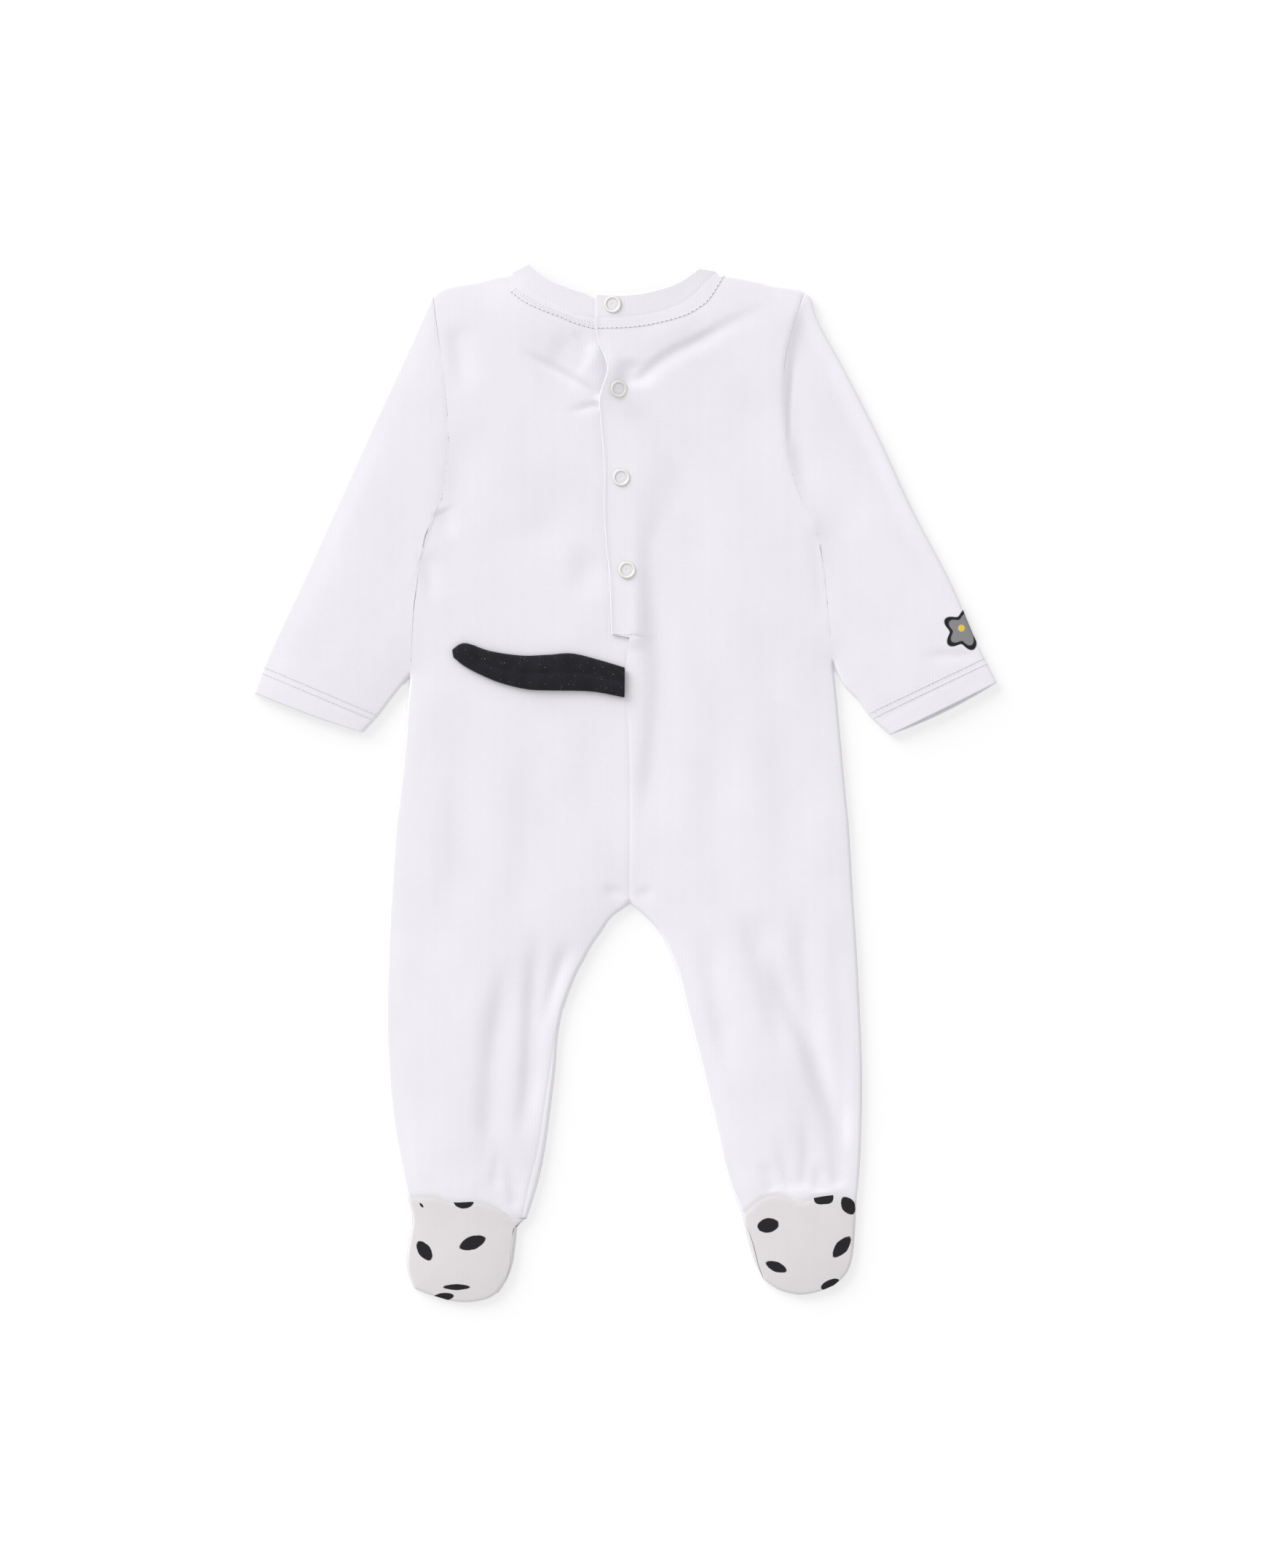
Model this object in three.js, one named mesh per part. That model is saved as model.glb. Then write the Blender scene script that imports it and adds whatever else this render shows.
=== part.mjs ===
import * as THREE from 'three';

// A baby romper with long sleeves and feet, laid flat on its front with its back up.
// The neck is at +Y, the feet are at -Y, and the cloth rests on Z = 0. Sizes are in millimetres.

// Driving sizes
const WALL = 1.2;
const SEAM_GAP = 0.4;
const LAY_GAP = 0.3;
const EDGE_BEND = 2.1;
const HEM_BEND = 0.9;
const LOFT = 1.5;
const LOFT_REACH = 14;
const OVERLAP_LIFT = 0.9;
const OVERLAP_DIP = 0.6;
const FRONT_NECK_DROP = 14;
const TAIL_THICKNESS = 2.6;
const TAIL_EDGE_THICKNESS = 1.4;
const SNAP_RADIUS = 5;
const SNAP_HEIGHT = 1.5;
const SNAP_PLATE = 0.8;
const SNAP_EDGE = 0.3;
const SNAP_RECESS_RADIUS = 3.2;
const SNAP_SIDES = 20;
const FRONT_MIDDLE = 3;
const YOKE_END = 161.5;
const OPENING_END = 84.5;
const CUT = 0.5;
const CROTCH = { x: 3, y: -69.5 };
const OUTLINE_STEP = 4;

const HALF_WALL = WALL / 2;
const HALF_GAP = SEAM_GAP / 2;
const CENTRE_INSET = 0.3;
const UPPER_REST = WALL + LAY_GAP;

const WHITE_JERSEY = { color: 0xedebf0, roughness: 0.95, metalness: 0 };
const SOLE_JERSEY = { color: 0xe0dcdd, roughness: 0.95, metalness: 0 };
const BLACK_JERSEY = { color: 0x17161c, roughness: 0.95, metalness: 0 };
const SNAP_PLASTIC = { color: 0xf2f1f4, roughness: 0.4, metalness: 0 };

// Seam and outline curves, each a list of [x, y] from the neck towards the feet or from left to right

const SHOULDER_LEFT = [
  [-111, 282], [-107.5, 285.5], [-99.5, 288], [-84, 290.5], [-75.5, 293], [-67, 294.2],
];
const SHOULDER_RIGHT = [[54, 294.2], [62, 293.2], [76, 290.6], [85, 288.3], [97, 286.6], [103, 284]];

const ARMHOLE_LEFT = [
  [-111, 282], [-108.5, 262], [-106, 245.5], [-103, 214.5], [-102.5, 193], [-104.5, 172.5], [-107.5, 161.5],
];
const ARMHOLE_RIGHT = [
  [103, 284], [96.5, 263], [92.5, 245.5], [91.5, 227], [92.5, 208.5], [95.5, 185], [102, 165], [108, 155.5],
];

const SIDE_LEFT = {
  chest: [[-107.5, 161.5], [-115.5, 143], [-119, 124], [-122, 103], [-123.3, 84.5]],
  cut: [[-123.3, 84.5], [-123.3, 84]],
  waist: [
    [-123.3, 84], [-124.5, 61.5], [-126.5, 42], [-128.5, 15], [-131.5, -10], [-133.5, -27], [-136.3, -69.5],
  ],
  leg: [
    [-136.3, -69.5], [-137.5, -94], [-138.5, -136], [-137, -169.5], [-134.5, -195], [-130, -220],
    [-125.8, -239.4],
  ],
};
const SIDE_RIGHT = {
  chest: [[108, 155.5], [113, 140], [116.5, 109], [118.8, 84.5]],
  cut: [[118.8, 84.5], [118.8, 84]],
  waist: [[118.8, 84], [120, 69.5], [122, 53], [124, 32], [127.5, -6], [129.5, -27], [132, -69.5]],
  leg: [
    [132, -69.5], [134, -98], [136.5, -148.5], [137, -178], [136.5, -203], [135.5, -224],
    [133.8, -241],
  ],
};

const OVERLAP_EDGE = {
  yoke: [
    [-17, 268.4], [-16.8, 261], [-15.4, 254], [-11, 243], [-10.4, 237], [-13, 229.5], [-14.9, 222], [-14.5, 212],
    [-13, 195], [-12, 178.5], [-12.4, 161.5],
  ],
  chest: [[-12.4, 161.5], [-12, 150], [-10.6, 132.5], [-9, 119], [-8, 84.5]],
  cut: [[-8, 84.5], [2.5, 84]],
};
const UNDERLAP_EDGE = {
  yoke: [[4, 269.3], [4, 161.5]],
  chest: [[4, 161.5], [4, 84.5]],
  cut: [[4, 84.5], [2.5, 84]],
};
const CENTRE_SEAM = [
  [2.5, 84], [0.4, 67], [0.2, 49], [1.7, 34], [2.6, 0], [2.7, -30], [2.3, -58], [CROTCH.x, CROTCH.y],
];

const INNER_LEG_LEFT = [
  [CROTCH.x, CROTCH.y], [-8, -77.5], [-13.5, -85.5], [-19.5, -94], [-24, -102.5], [-28.5, -111], [-35, -128],
  [-38.5, -145], [-40.2, -165.5], [-43.2, -190], [-46.2, -211.5], [-50, -230], [-56.5, -251],
];
const INNER_LEG_RIGHT = [
  [CROTCH.x, CROTCH.y], [12.5, -77.5], [19.5, -85.5], [24, -94], [27.5, -102.5], [30.5, -111], [34.5, -127.5],
  [39, -145], [43.5, -163], [47, -178], [52, -199], [58, -225], [64, -241], [67.5, -249],
];

const HEEL_SEAM_LEFT = [
  [-125.8, -239.4], [-115.3, -238.4], [-108.8, -238.8], [-99, -241.6], [-88, -241.4], [-78.3, -242.8],
  [-72, -245.8], [-65.3, -250.6], [-56.5, -251],
];
const HEEL_SEAM_RIGHT = [
  [67.5, -249], [75, -242.3], [82, -238], [89.3, -237.6], [95, -239.2], [99.5, -241.2], [104, -241.2],
  [109, -239.2], [120, -237.6], [127, -238.4], [133.8, -241],
];
const ANKLE_LEFT = [[-125.8, -239.4], [-92, -247], [-56.5, -251]];
const ANKLE_RIGHT = [[67.5, -249], [100, -247], [133.8, -241]];

const SOLE_LEFT = {
  left: [
    [-125.8, -239.4], [-124, -245.5], [-123, -252.5], [-124.5, -262], [-126.2, -272.5], [-125.8, -282],
    [-122, -292],
  ],
  toe: [
    [-122, -292], [-116, -294.5], [-107.3, -297.4], [-99, -299.5], [-90, -300], [-80, -298.2],
    [-73.3, -294.4],
  ],
  right: [
    [-56.5, -251], [-61.8, -256], [-62.6, -262], [-63.6, -270], [-64.8, -278], [-68, -286.5],
    [-73.3, -294.4],
  ],
};
const SOLE_RIGHT = {
  left: [[67.5, -249], [70.8, -264.2], [75, -277.6], [80, -287]],
  toe: [[80, -287], [87.6, -292.3], [95, -294.8], [102.7, -295.7], [112.4, -293.8], [120.8, -290.4]],
  right: [[133.8, -241], [133, -256.6], [132, -270], [130, -279.3], [126.6, -285.2], [120.8, -290.4]],
};

const SLEEVE_LEFT = {
  outer: [
    [-112, 281.4], [-114.8, 275.5], [-130, 242], [-149.5, 200], [-168.5, 158], [-187.5, 116], [-207, 74],
    [-215, 52.5],
  ],
  beside: [[-123.3, 84.5], [-124.5, 61.5]],
  inner: [[-124.5, 61.5], [-134.6, 48.7], [-142, 39], [-151, 29]],
  cuff: [[-215, 52.5], [-197.5, 45.5], [-173, 36.2], [-151, 29]],
};
const SLEEVE_RIGHT = {
  outer: [
    [104.3, 283.4], [108.3, 279.6], [112, 267], [125.5, 242], [147, 200], [166.5, 158], [188.5, 116], [203, 82.5],
    [215, 58.5],
  ],
  beside: [[118.8, 84.5], [120, 69.5]],
  inner: [[120, 69.5], [126, 56.5], [134, 48], [141, 38.5], [152.5, 27.7]],
  cuff: [[152.5, 27.7], [178.5, 40.3], [215, 58.5]],
};

const NECK_EDGE = {
  left: [[-55.7, 300], [-48.5, 294], [-41.5, 290], [-29, 285], [-24, 283.8]],
  under: [[-24, 283.8], [-19, 281.2], [-14, 280.2], [4, 279.8]],
  right: [[-17, 282.6], [-5, 281.9], [6.5, 282.6], [18.5, 285], [30.5, 289.3], [42, 297]],
};
const BAND_SEAM = {
  left: [[-65.5, 295], [-59.5, 288], [-47.5, 280.5], [-35.5, 274], [-26.5, 269.8], [-17, 268.4]],
  under: [[-17, 268.4], [4, 269.3]],
  right: [[-17, 268.4], [2.5, 269.2], [17, 271.5], [30, 275.7], [38.5, 281], [44.7, 287.3], [52.5, 295.2]],
};

const TAIL = {
  top: [
    [-99.8, 77], [-95, 80.4], [-89.7, 80.2], [-78, 76.2], [-60.3, 73.6], [-44.3, 74], [-31, 74.8], [-16.2, 71.4],
    [0, 66.6],
  ],
  bottom: [
    [-99.2, 72.4], [-93.5, 67.8], [-84.6, 63], [-72.5, 58], [-57.3, 54.2], [-44.3, 53.5], [-28.4, 53.3],
    [-16.2, 52.5], [-0.3, 49.4],
  ],
};

const SNAPS = [
  { name: 'snap_1', x: -7.2, y: 276 },
  { name: 'snap_2', x: -3.7, y: 227.2 },
  { name: 'snap_3', x: -2.2, y: 176.2 },
  { name: 'snap_4', x: 1.1, y: 122.9 },
];

// Largest folds: a valley has a negative height, and reach is how far it fades to each side
const FOLDS = [
  { from: [-60.7, 251.6], to: [-18, 224], reach: 4, height: -1 },
  { from: [83, 277], to: [44.3, 256.6], reach: 4.5, height: -0.9 },
  { from: [44.3, 256.6], to: [12, 234], reach: 4.5, height: -1.2 },
  { from: [-96, 264], to: [-92.2, 225], reach: 5, height: -0.9 },
  { from: [9, 165.5], to: [22.9, 90], reach: 6, height: -1 },
  { from: [22.9, 90], to: [14.9, 18], reach: 6, height: -1 },
  { from: [14.9, 18], to: [9, -38], reach: 5, height: -0.6 },
  { from: [-75, -110], to: [-83, -205], reach: 7, height: -0.9 },
  { from: [-62.8, -186], to: [-67, -231], reach: 4.5, height: -0.8 },
  { from: [92.6, -118], to: [116.6, -197], reach: 7, height: -0.9 },
  { from: [72.9, -46], to: [84.6, -102], reach: 8, height: -0.7 },
];

// Shares across a piece, closer together where the cloth bends at an outline
const SHOULDER_SHARE = 0.38;
const UNDERLAP_SHARE = 0.83;
const JOIN = 1e-6;
const BACK_LEFT_ACROSS = [
  0, 0.006, 0.016, 0.04, 0.1, 0.19, 0.28, SHOULDER_SHARE, 0.44, 0.5, 0.57, 0.64, 0.7, 0.77, UNDERLAP_SHARE, 0.91,
  0.96, 0.984, 0.994, 1,
];
const BACK_RIGHT_ACROSS = BACK_LEFT_ACROSS.map((share) => 1 - share).reverse();
const FRONT_ACROSS = [0, 0.13, 0.26, 0.38, 0.46, 0.54, 0.63, 0.72, 0.81, 0.9, 1];
const SLEEVE_ACROSS = [0, 0.007, 0.02, 0.06, 0.14, 0.28, 0.5, 0.72, 0.86, 0.94, 0.98, 0.993, 1];
const SOLE_DOWN = [0, 0.2, 0.4, 0.6, 0.78, 0.9, 0.96, 0.985, 1];
const BAND_DOWN = [0, 0.06, 0.2, 0.6, 1];

// Stretches of every body panel from the neck to the ankle: where each ends, and its steps
const STRETCHES = {
  yoke: { upTo: 0.23, steps: SLEEVE_ACROSS.length - 1 },
  chest: { upTo: 0.38, steps: 6 },
  cut: { upTo: 0.381, steps: 1 },
  waist: { upTo: 0.67, steps: 7 },
  leg: { upTo: 1, steps: 10 },
};
const BODY_DOWN = bodyShares();
const CROTCH_ROW = BODY_DOWN.length - 1 - STRETCHES.leg.steps;

function bodyShares() {
  const shares = SLEEVE_ACROSS.map((share) => share * STRETCHES.yoke.upTo);
  let from = STRETCHES.yoke.upTo;
  for (const name of ['chest', 'cut', 'waist', 'leg']) {
    const { upTo, steps } = STRETCHES[name];
    shares.push(...evenShares(steps).slice(1).map((share) => mix(from, upTo, share)));
    from = upTo;
  }
  return shares;
}

function evenShares(count) {
  return Array.from({ length: count + 1 }, (unused, index) => index / count);
}

function mix(a, b, share) {
  return a + (b - a) * share;
}

function smoothStep(from, to, value) {
  const share = Math.min(Math.max((value - from) / (to - from), 0), 1);
  return share * share * (3 - 2 * share);
}

function toCurve(points) {
  return new THREE.SplineCurve(points.map(([x, y]) => new THREE.Vector2(x, y)));
}

// Distance to the outline, which shapes the bend and the loft of the upper cloth

function outlineSegments(lists) {
  const segments = [];
  for (const points of lists) {
    const curve = toCurve(points);
    const count = Math.max(2, Math.ceil(curve.getLength() / OUTLINE_STEP));
    const dots = curve.getSpacedPoints(count);
    for (let index = 0; index < count; index += 1) {
      segments.push([dots[index], dots[index + 1]]);
    }
  }
  return segments;
}

const OUTLINE = outlineSegments([
  SHOULDER_LEFT, SHOULDER_RIGHT,
  SIDE_LEFT.chest, SIDE_LEFT.waist, SIDE_LEFT.leg,
  SIDE_RIGHT.chest, SIDE_RIGHT.waist, SIDE_RIGHT.leg,
  INNER_LEG_LEFT, INNER_LEG_RIGHT,
  SOLE_LEFT.left, SOLE_LEFT.toe, SOLE_LEFT.right,
  SOLE_RIGHT.left, SOLE_RIGHT.toe, SOLE_RIGHT.right,
  SLEEVE_LEFT.outer, SLEEVE_LEFT.inner, SLEEVE_RIGHT.outer, SLEEVE_RIGHT.inner,
  NECK_EDGE.left, NECK_EDGE.right,
]);

function segmentDistance(x, y, start, end) {
  const dx = end.x - start.x;
  const dy = end.y - start.y;
  const along = ((x - start.x) * dx + (y - start.y) * dy) / (dx * dx + dy * dy);
  const share = Math.min(Math.max(along, 0), 1);
  return Math.hypot(x - start.x - dx * share, y - start.y - dy * share);
}

function outlineDistance(x, y) {
  let nearest = Infinity;
  for (const [start, end] of OUTLINE) {
    nearest = Math.min(nearest, segmentDistance(x, y, start, end));
  }
  return nearest;
}

function foldHeight(x, y) {
  let height = 0;
  for (const fold of FOLDS) {
    const start = { x: fold.from[0], y: fold.from[1] };
    const end = { x: fold.to[0], y: fold.to[1] };
    const away = segmentDistance(x, y, start, end) / fold.reach;
    height = Math.min(height, fold.height * Math.exp(-away * away));
  }
  return height;
}

// Middle of the upper cloth and of the lower cloth of a sleeve

function upperHeight(x, y) {
  const inside = Math.max(outlineDistance(x, y) - HALF_WALL, 0);
  const bend = Math.min(inside, EDGE_BEND);
  const turned = Math.sqrt(EDGE_BEND ** 2 - (EDGE_BEND - bend) ** 2);
  const loft = LOFT * (1 - Math.exp(-inside / LOFT_REACH));
  const settled = smoothStep(EDGE_BEND, EDGE_BEND * 4, inside);
  return UPPER_REST + turned + loft + foldHeight(x, y) * settled;
}

function lowerHeight(x, y) {
  const inside = Math.max(outlineDistance(x, y) - HALF_WALL, 0);
  const bend = Math.min(inside, HEM_BEND);
  return UPPER_REST - Math.sqrt(HEM_BEND ** 2 - (HEM_BEND - bend) ** 2);
}

// The right back lies over the left back down to the end of the opening

const OPENING_FADE = 8;
const LIFT_FADE = { from: 6, to: 20 };
const DIP_FADE = { from: -27, to: -19 };

function openingShare(y) {
  return smoothStep(OPENING_END - OPENING_FADE, OPENING_END, y);
}

function rightBackHeight(x, y) {
  const across = 1 - smoothStep(LIFT_FADE.from, LIFT_FADE.to, x);
  return upperHeight(x, y) + OVERLAP_LIFT * across * openingShare(y);
}

function leftBackHeight(x, y) {
  const across = smoothStep(DIP_FADE.from, DIP_FADE.to, x);
  return Math.max(upperHeight(x, y) - OVERLAP_DIP * across * openingShare(y), UPPER_REST);
}

// Four-sided patches between boundary curves. A part of a boundary is { points, inset, upTo },
// where inset moves the curve into the piece and upTo is the share at which the part ends.

function boundaryPoint(parts, share, side, insetScale) {
  const ahead = parts.findIndex((part) => share < part.upTo - 1e-9);
  const found = ahead === -1 ? parts.length - 1 : ahead;
  const part = parts[found];
  const from = found === 0 ? 0 : parts[found - 1].upTo;
  const local = Math.min(Math.max((share - from) / (part.upTo - from), 0), 1);
  part.curve = part.curve ?? toCurve(part.points);
  const point = part.curve.getPointAt(local);
  const tangent = part.curve.getTangentAt(local);
  const inset = part.inset * insetScale * side;
  return { x: point.x - tangent.y * inset, y: point.y + tangent.x * inset };
}

function patch({ top, bottom, left, right }, across, down, settle = 1) {
  const topEdge = across.map((share) => boundaryPoint(top, share, -1, 1));
  const bottomEdge = across.map((share) => boundaryPoint(bottom, share, 1, 1));
  const leftEdge = down.map((share) => boundaryPoint(left, share, 1, 1));
  const rightEdge = down.map((share) => boundaryPoint(right, share, -1, 1));
  const topStart = boundaryPoint(top, 0, -1, 0);
  const topEnd = boundaryPoint(top, 1, -1, 0);
  const bottomStart = boundaryPoint(bottom, 0, 1, 0);
  const bottomEnd = boundaryPoint(bottom, 1, 1, 0);
  const blend = (axis, row, column) => {
    const u = across[column];
    const v = down[row];
    const straight = mix(leftEdge[row][axis], rightEdge[row][axis], u);
    const topBow = topEdge[column][axis] - mix(topStart[axis], topEnd[axis], u);
    const bottomBow = bottomEdge[column][axis] - mix(bottomStart[axis], bottomEnd[axis], u);
    return straight + topBow * (1 - v) ** settle + bottomBow * v ** settle;
  };
  return down.map((v, row) => across.map((u, column) => (
    new THREE.Vector3(blend('x', row, column), blend('y', row, column), 0)
  )));
}

function raise(grid, height) {
  return grid.map((row) => row.map((point) => new THREE.Vector3(point.x, point.y, height(point.x, point.y))));
}

// Cloth with a wall: each grid cell gives two faces outside and two inside

function gridNormals(grid, ringed) {
  const normals = grid.map((row) => row.map(() => new THREE.Vector3()));
  const columns = grid[0].length;
  const last = ringed ? columns : columns - 1;
  for (let i = 0; i < grid.length - 1; i += 1) {
    for (let j = 0; j < last; j += 1) {
      const next = (j + 1) % columns;
      const along = grid[i + 1][next].clone().sub(grid[i][j]);
      const acrossCell = grid[i][next].clone().sub(grid[i + 1][j]);
      const face = along.cross(acrossCell);
      for (const [row, column] of [[i, j], [i, next], [i + 1, j], [i + 1, next]]) {
        normals[row][column].add(face);
      }
    }
  }
  normals.forEach((row) => row.forEach((normal) => normal.normalize()));
  return normals;
}

function offsetGrid(grid, normals, distance, lowest) {
  return grid.map((row, i) => row.map((point, j) => {
    const moved = point.clone().addScaledVector(normals[i][j], distance(i, j));
    moved.z = Math.max(moved.z, lowest);
    return moved;
  }));
}

function addQuad(triangles, a, b, c, d) {
  triangles.push(a, b, c, a, c, d);
}

// A flat or curved sheet; joined(row) tells where its right edge continues in another sheet
function sheetTriangles(grid, options) {
  const { lowest = 0, half = () => HALF_WALL, joinedRight = () => false, joinedLeft = () => false } = options;
  const normals = gridNormals(grid, false);
  const outer = offsetGrid(grid, normals, half, lowest);
  const inner = offsetGrid(grid, normals, (i, j) => -half(i, j), lowest);
  const triangles = [];
  const lastRow = grid.length - 1;
  const lastColumn = grid[0].length - 1;
  for (let i = 0; i < lastRow; i += 1) {
    for (let j = 0; j < lastColumn; j += 1) {
      addQuad(triangles, outer[i][j], outer[i + 1][j], outer[i + 1][j + 1], outer[i][j + 1]);
      addQuad(triangles, inner[i][j], inner[i][j + 1], inner[i + 1][j + 1], inner[i + 1][j]);
    }
    if (!joinedLeft(i)) {
      addQuad(triangles, outer[i][0], inner[i][0], inner[i + 1][0], outer[i + 1][0]);
    }
    if (!joinedRight(i)) {
      addQuad(
        triangles, outer[i + 1][lastColumn], inner[i + 1][lastColumn], inner[i][lastColumn], outer[i][lastColumn],
      );
    }
  }
  for (let j = 0; j < lastColumn; j += 1) {
    addQuad(triangles, outer[0][j + 1], inner[0][j + 1], inner[0][j], outer[0][j]);
    addQuad(triangles, outer[lastRow][j], inner[lastRow][j], inner[lastRow][j + 1], outer[lastRow][j + 1]);
  }
  return triangles;
}

// A flattened tube, open at both ends; each grid row runs once round it
function tubeTriangles(grid) {
  const normals = gridNormals(grid, true);
  const outer = offsetGrid(grid, normals, () => HALF_WALL, 0);
  const inner = offsetGrid(grid, normals, () => -HALF_WALL, 0);
  const triangles = [];
  const lastRow = grid.length - 1;
  const columns = grid[0].length;
  for (let j = 0; j < columns; j += 1) {
    const k = (j + 1) % columns;
    for (let i = 0; i < lastRow; i += 1) {
      addQuad(triangles, outer[i][j], outer[i + 1][j], outer[i + 1][k], outer[i][k]);
      addQuad(triangles, inner[i][j], inner[i][k], inner[i + 1][k], inner[i + 1][j]);
    }
    addQuad(triangles, outer[0][k], inner[0][k], inner[0][j], outer[0][j]);
    addQuad(triangles, outer[lastRow][j], inner[lastRow][j], inner[lastRow][k], outer[lastRow][k]);
  }
  return triangles;
}

const OVER_FRONT = { lowest: UPPER_REST };
const ON_SURFACE = { lowest: 0 };

function toMesh(name, triangles, finish) {
  const geometry = new THREE.BufferGeometry().setFromPoints(triangles);
  geometry.computeVertexNormals();
  const mesh = new THREE.Mesh(geometry, new THREE.MeshStandardMaterial(finish));
  mesh.name = name;
  return mesh;
}

// Boundaries of the body panels

function sideBoundary(armhole, side, inset) {
  return [
    { points: armhole, inset: HALF_GAP, upTo: STRETCHES.yoke.upTo },
    { points: side.chest, inset, upTo: STRETCHES.chest.upTo },
    { points: side.cut, inset, upTo: STRETCHES.cut.upTo },
    { points: side.waist, inset, upTo: STRETCHES.waist.upTo },
    { points: side.leg, inset, upTo: STRETCHES.leg.upTo },
  ];
}

function openingBoundary(edge, innerLeg) {
  return [
    { points: edge.yoke, inset: 0, upTo: STRETCHES.yoke.upTo },
    { points: edge.chest, inset: 0, upTo: STRETCHES.chest.upTo },
    { points: edge.cut, inset: 0, upTo: STRETCHES.cut.upTo },
    { points: CENTRE_SEAM, inset: CENTRE_INSET, upTo: STRETCHES.waist.upTo },
    { points: innerLeg, inset: HALF_WALL, upTo: STRETCHES.leg.upTo },
  ];
}

function backLeft() {
  const sides = {
    top: [
      { points: SHOULDER_LEFT, inset: HALF_WALL, upTo: SHOULDER_SHARE + JOIN },
      { points: BAND_SEAM.left, inset: HALF_GAP, upTo: UNDERLAP_SHARE },
      { points: BAND_SEAM.under, inset: HALF_GAP, upTo: 1 },
    ],
    bottom: [{ points: HEEL_SEAM_LEFT, inset: HALF_GAP, upTo: 1 }],
    left: sideBoundary(ARMHOLE_LEFT, SIDE_LEFT, HALF_WALL),
    right: openingBoundary(UNDERLAP_EDGE, INNER_LEG_LEFT),
  };
  const grid = patch(sides, BACK_LEFT_ACROSS, BODY_DOWN);
  return toMesh('back_left', sheetTriangles(raise(grid, leftBackHeight), OVER_FRONT), WHITE_JERSEY);
}

function backRight() {
  const sides = {
    top: [
      { points: BAND_SEAM.right, inset: HALF_GAP, upTo: 1 - SHOULDER_SHARE },
      { points: SHOULDER_RIGHT, inset: HALF_WALL, upTo: 1 },
    ],
    bottom: [{ points: HEEL_SEAM_RIGHT, inset: HALF_GAP, upTo: 1 }],
    left: openingBoundary(OVERLAP_EDGE, INNER_LEG_RIGHT),
    right: sideBoundary(ARMHOLE_RIGHT, SIDE_RIGHT, HALF_WALL),
  };
  const grid = patch(sides, BACK_RIGHT_ACROSS, BODY_DOWN);
  return toMesh('back_right', sheetTriangles(raise(grid, rightBackHeight), OVER_FRONT), WHITE_JERSEY);
}

// The front neckline lies lower than the back one, by a drop that fades out at the shoulders

const NECK_MIDDLE = -6;
const NECK_HALF_WIDTH = 59;

function dropped(points) {
  return points.map(([x, y]) => {
    const away = Math.min(Math.abs(x - NECK_MIDDLE) / NECK_HALF_WIDTH, 1);
    return [x, y - FRONT_NECK_DROP * (1 - away * away)];
  });
}

const FRONT_NECK_STEPS = 48;
const FRONT_SEAM = toCurve(dropped([...BAND_SEAM.left, ...BAND_SEAM.right.slice(1)]))
  .getSpacedPoints(FRONT_NECK_STEPS)
  .map((point) => [point.x, point.y]);
const NECK_SPLIT = FRONT_SEAM.findIndex(([x]) => x >= FRONT_MIDDLE);

function front() {
  const neckBottom = FRONT_SEAM[NECK_SPLIT];
  const stretch = (fromY, toY, name) => (
    { points: [[FRONT_MIDDLE, fromY], [FRONT_MIDDLE, toY]], inset: 0, upTo: STRETCHES[name].upTo }
  );
  const centre = [
    { points: [neckBottom, [FRONT_MIDDLE, YOKE_END]], inset: 0, upTo: STRETCHES.yoke.upTo },
    stretch(YOKE_END, OPENING_END, 'chest'),
    stretch(OPENING_END, OPENING_END - CUT, 'cut'),
    stretch(OPENING_END - CUT, CROTCH.y, 'waist'),
  ];
  const leftHalf = patch({
    top: [
      { points: SHOULDER_LEFT, inset: 0, upTo: SHOULDER_SHARE + JOIN },
      { points: FRONT_SEAM.slice(0, NECK_SPLIT + 1), inset: HALF_GAP, upTo: 1 },
    ],
    bottom: [{ points: ANKLE_LEFT, inset: HALF_GAP, upTo: 1 }],
    left: sideBoundary(ARMHOLE_LEFT, SIDE_LEFT, 0),
    right: [...centre, { points: INNER_LEG_LEFT, inset: 0, upTo: 1 }],
  }, FRONT_ACROSS, BODY_DOWN);
  const rightHalf = patch({
    top: [
      { points: FRONT_SEAM.slice(NECK_SPLIT), inset: HALF_GAP, upTo: 1 - SHOULDER_SHARE },
      { points: SHOULDER_RIGHT, inset: 0, upTo: 1 },
    ],
    bottom: [{ points: ANKLE_RIGHT, inset: HALF_GAP, upTo: 1 }],
    left: [...centre, { points: INNER_LEG_RIGHT, inset: 0, upTo: 1 }],
    right: sideBoundary(ARMHOLE_RIGHT, SIDE_RIGHT, 0),
  }, FRONT_ACROSS.map((share) => 1 - share).reverse(), BODY_DOWN);
  for (let row = 0; row <= CROTCH_ROW; row += 1) {
    rightHalf[row][0].copy(leftHalf[row][leftHalf[row].length - 1]);
  }
  const joined = (row) => row < CROTCH_ROW;
  const triangles = [
    ...sheetTriangles(raise(leftHalf, () => HALF_WALL), { joinedRight: joined }),
    ...sheetTriangles(raise(rightHalf, () => HALF_WALL), { joinedLeft: joined }),
  ];
  return toMesh('front', triangles, WHITE_JERSEY);
}

// Neck band in three lengths

const BAND_LEFT_ACROSS = BACK_LEFT_ACROSS
  .filter((share) => share >= SHOULDER_SHARE)
  .map((share) => (share - SHOULDER_SHARE) / (1 - SHOULDER_SHARE));
const BAND_RIGHT_ACROSS = BAND_LEFT_ACROSS.map((share) => 1 - share).reverse();
const BAND_UNDERLAP_SHARE = (UNDERLAP_SHARE - SHOULDER_SHARE) / (1 - SHOULDER_SHARE);

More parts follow.
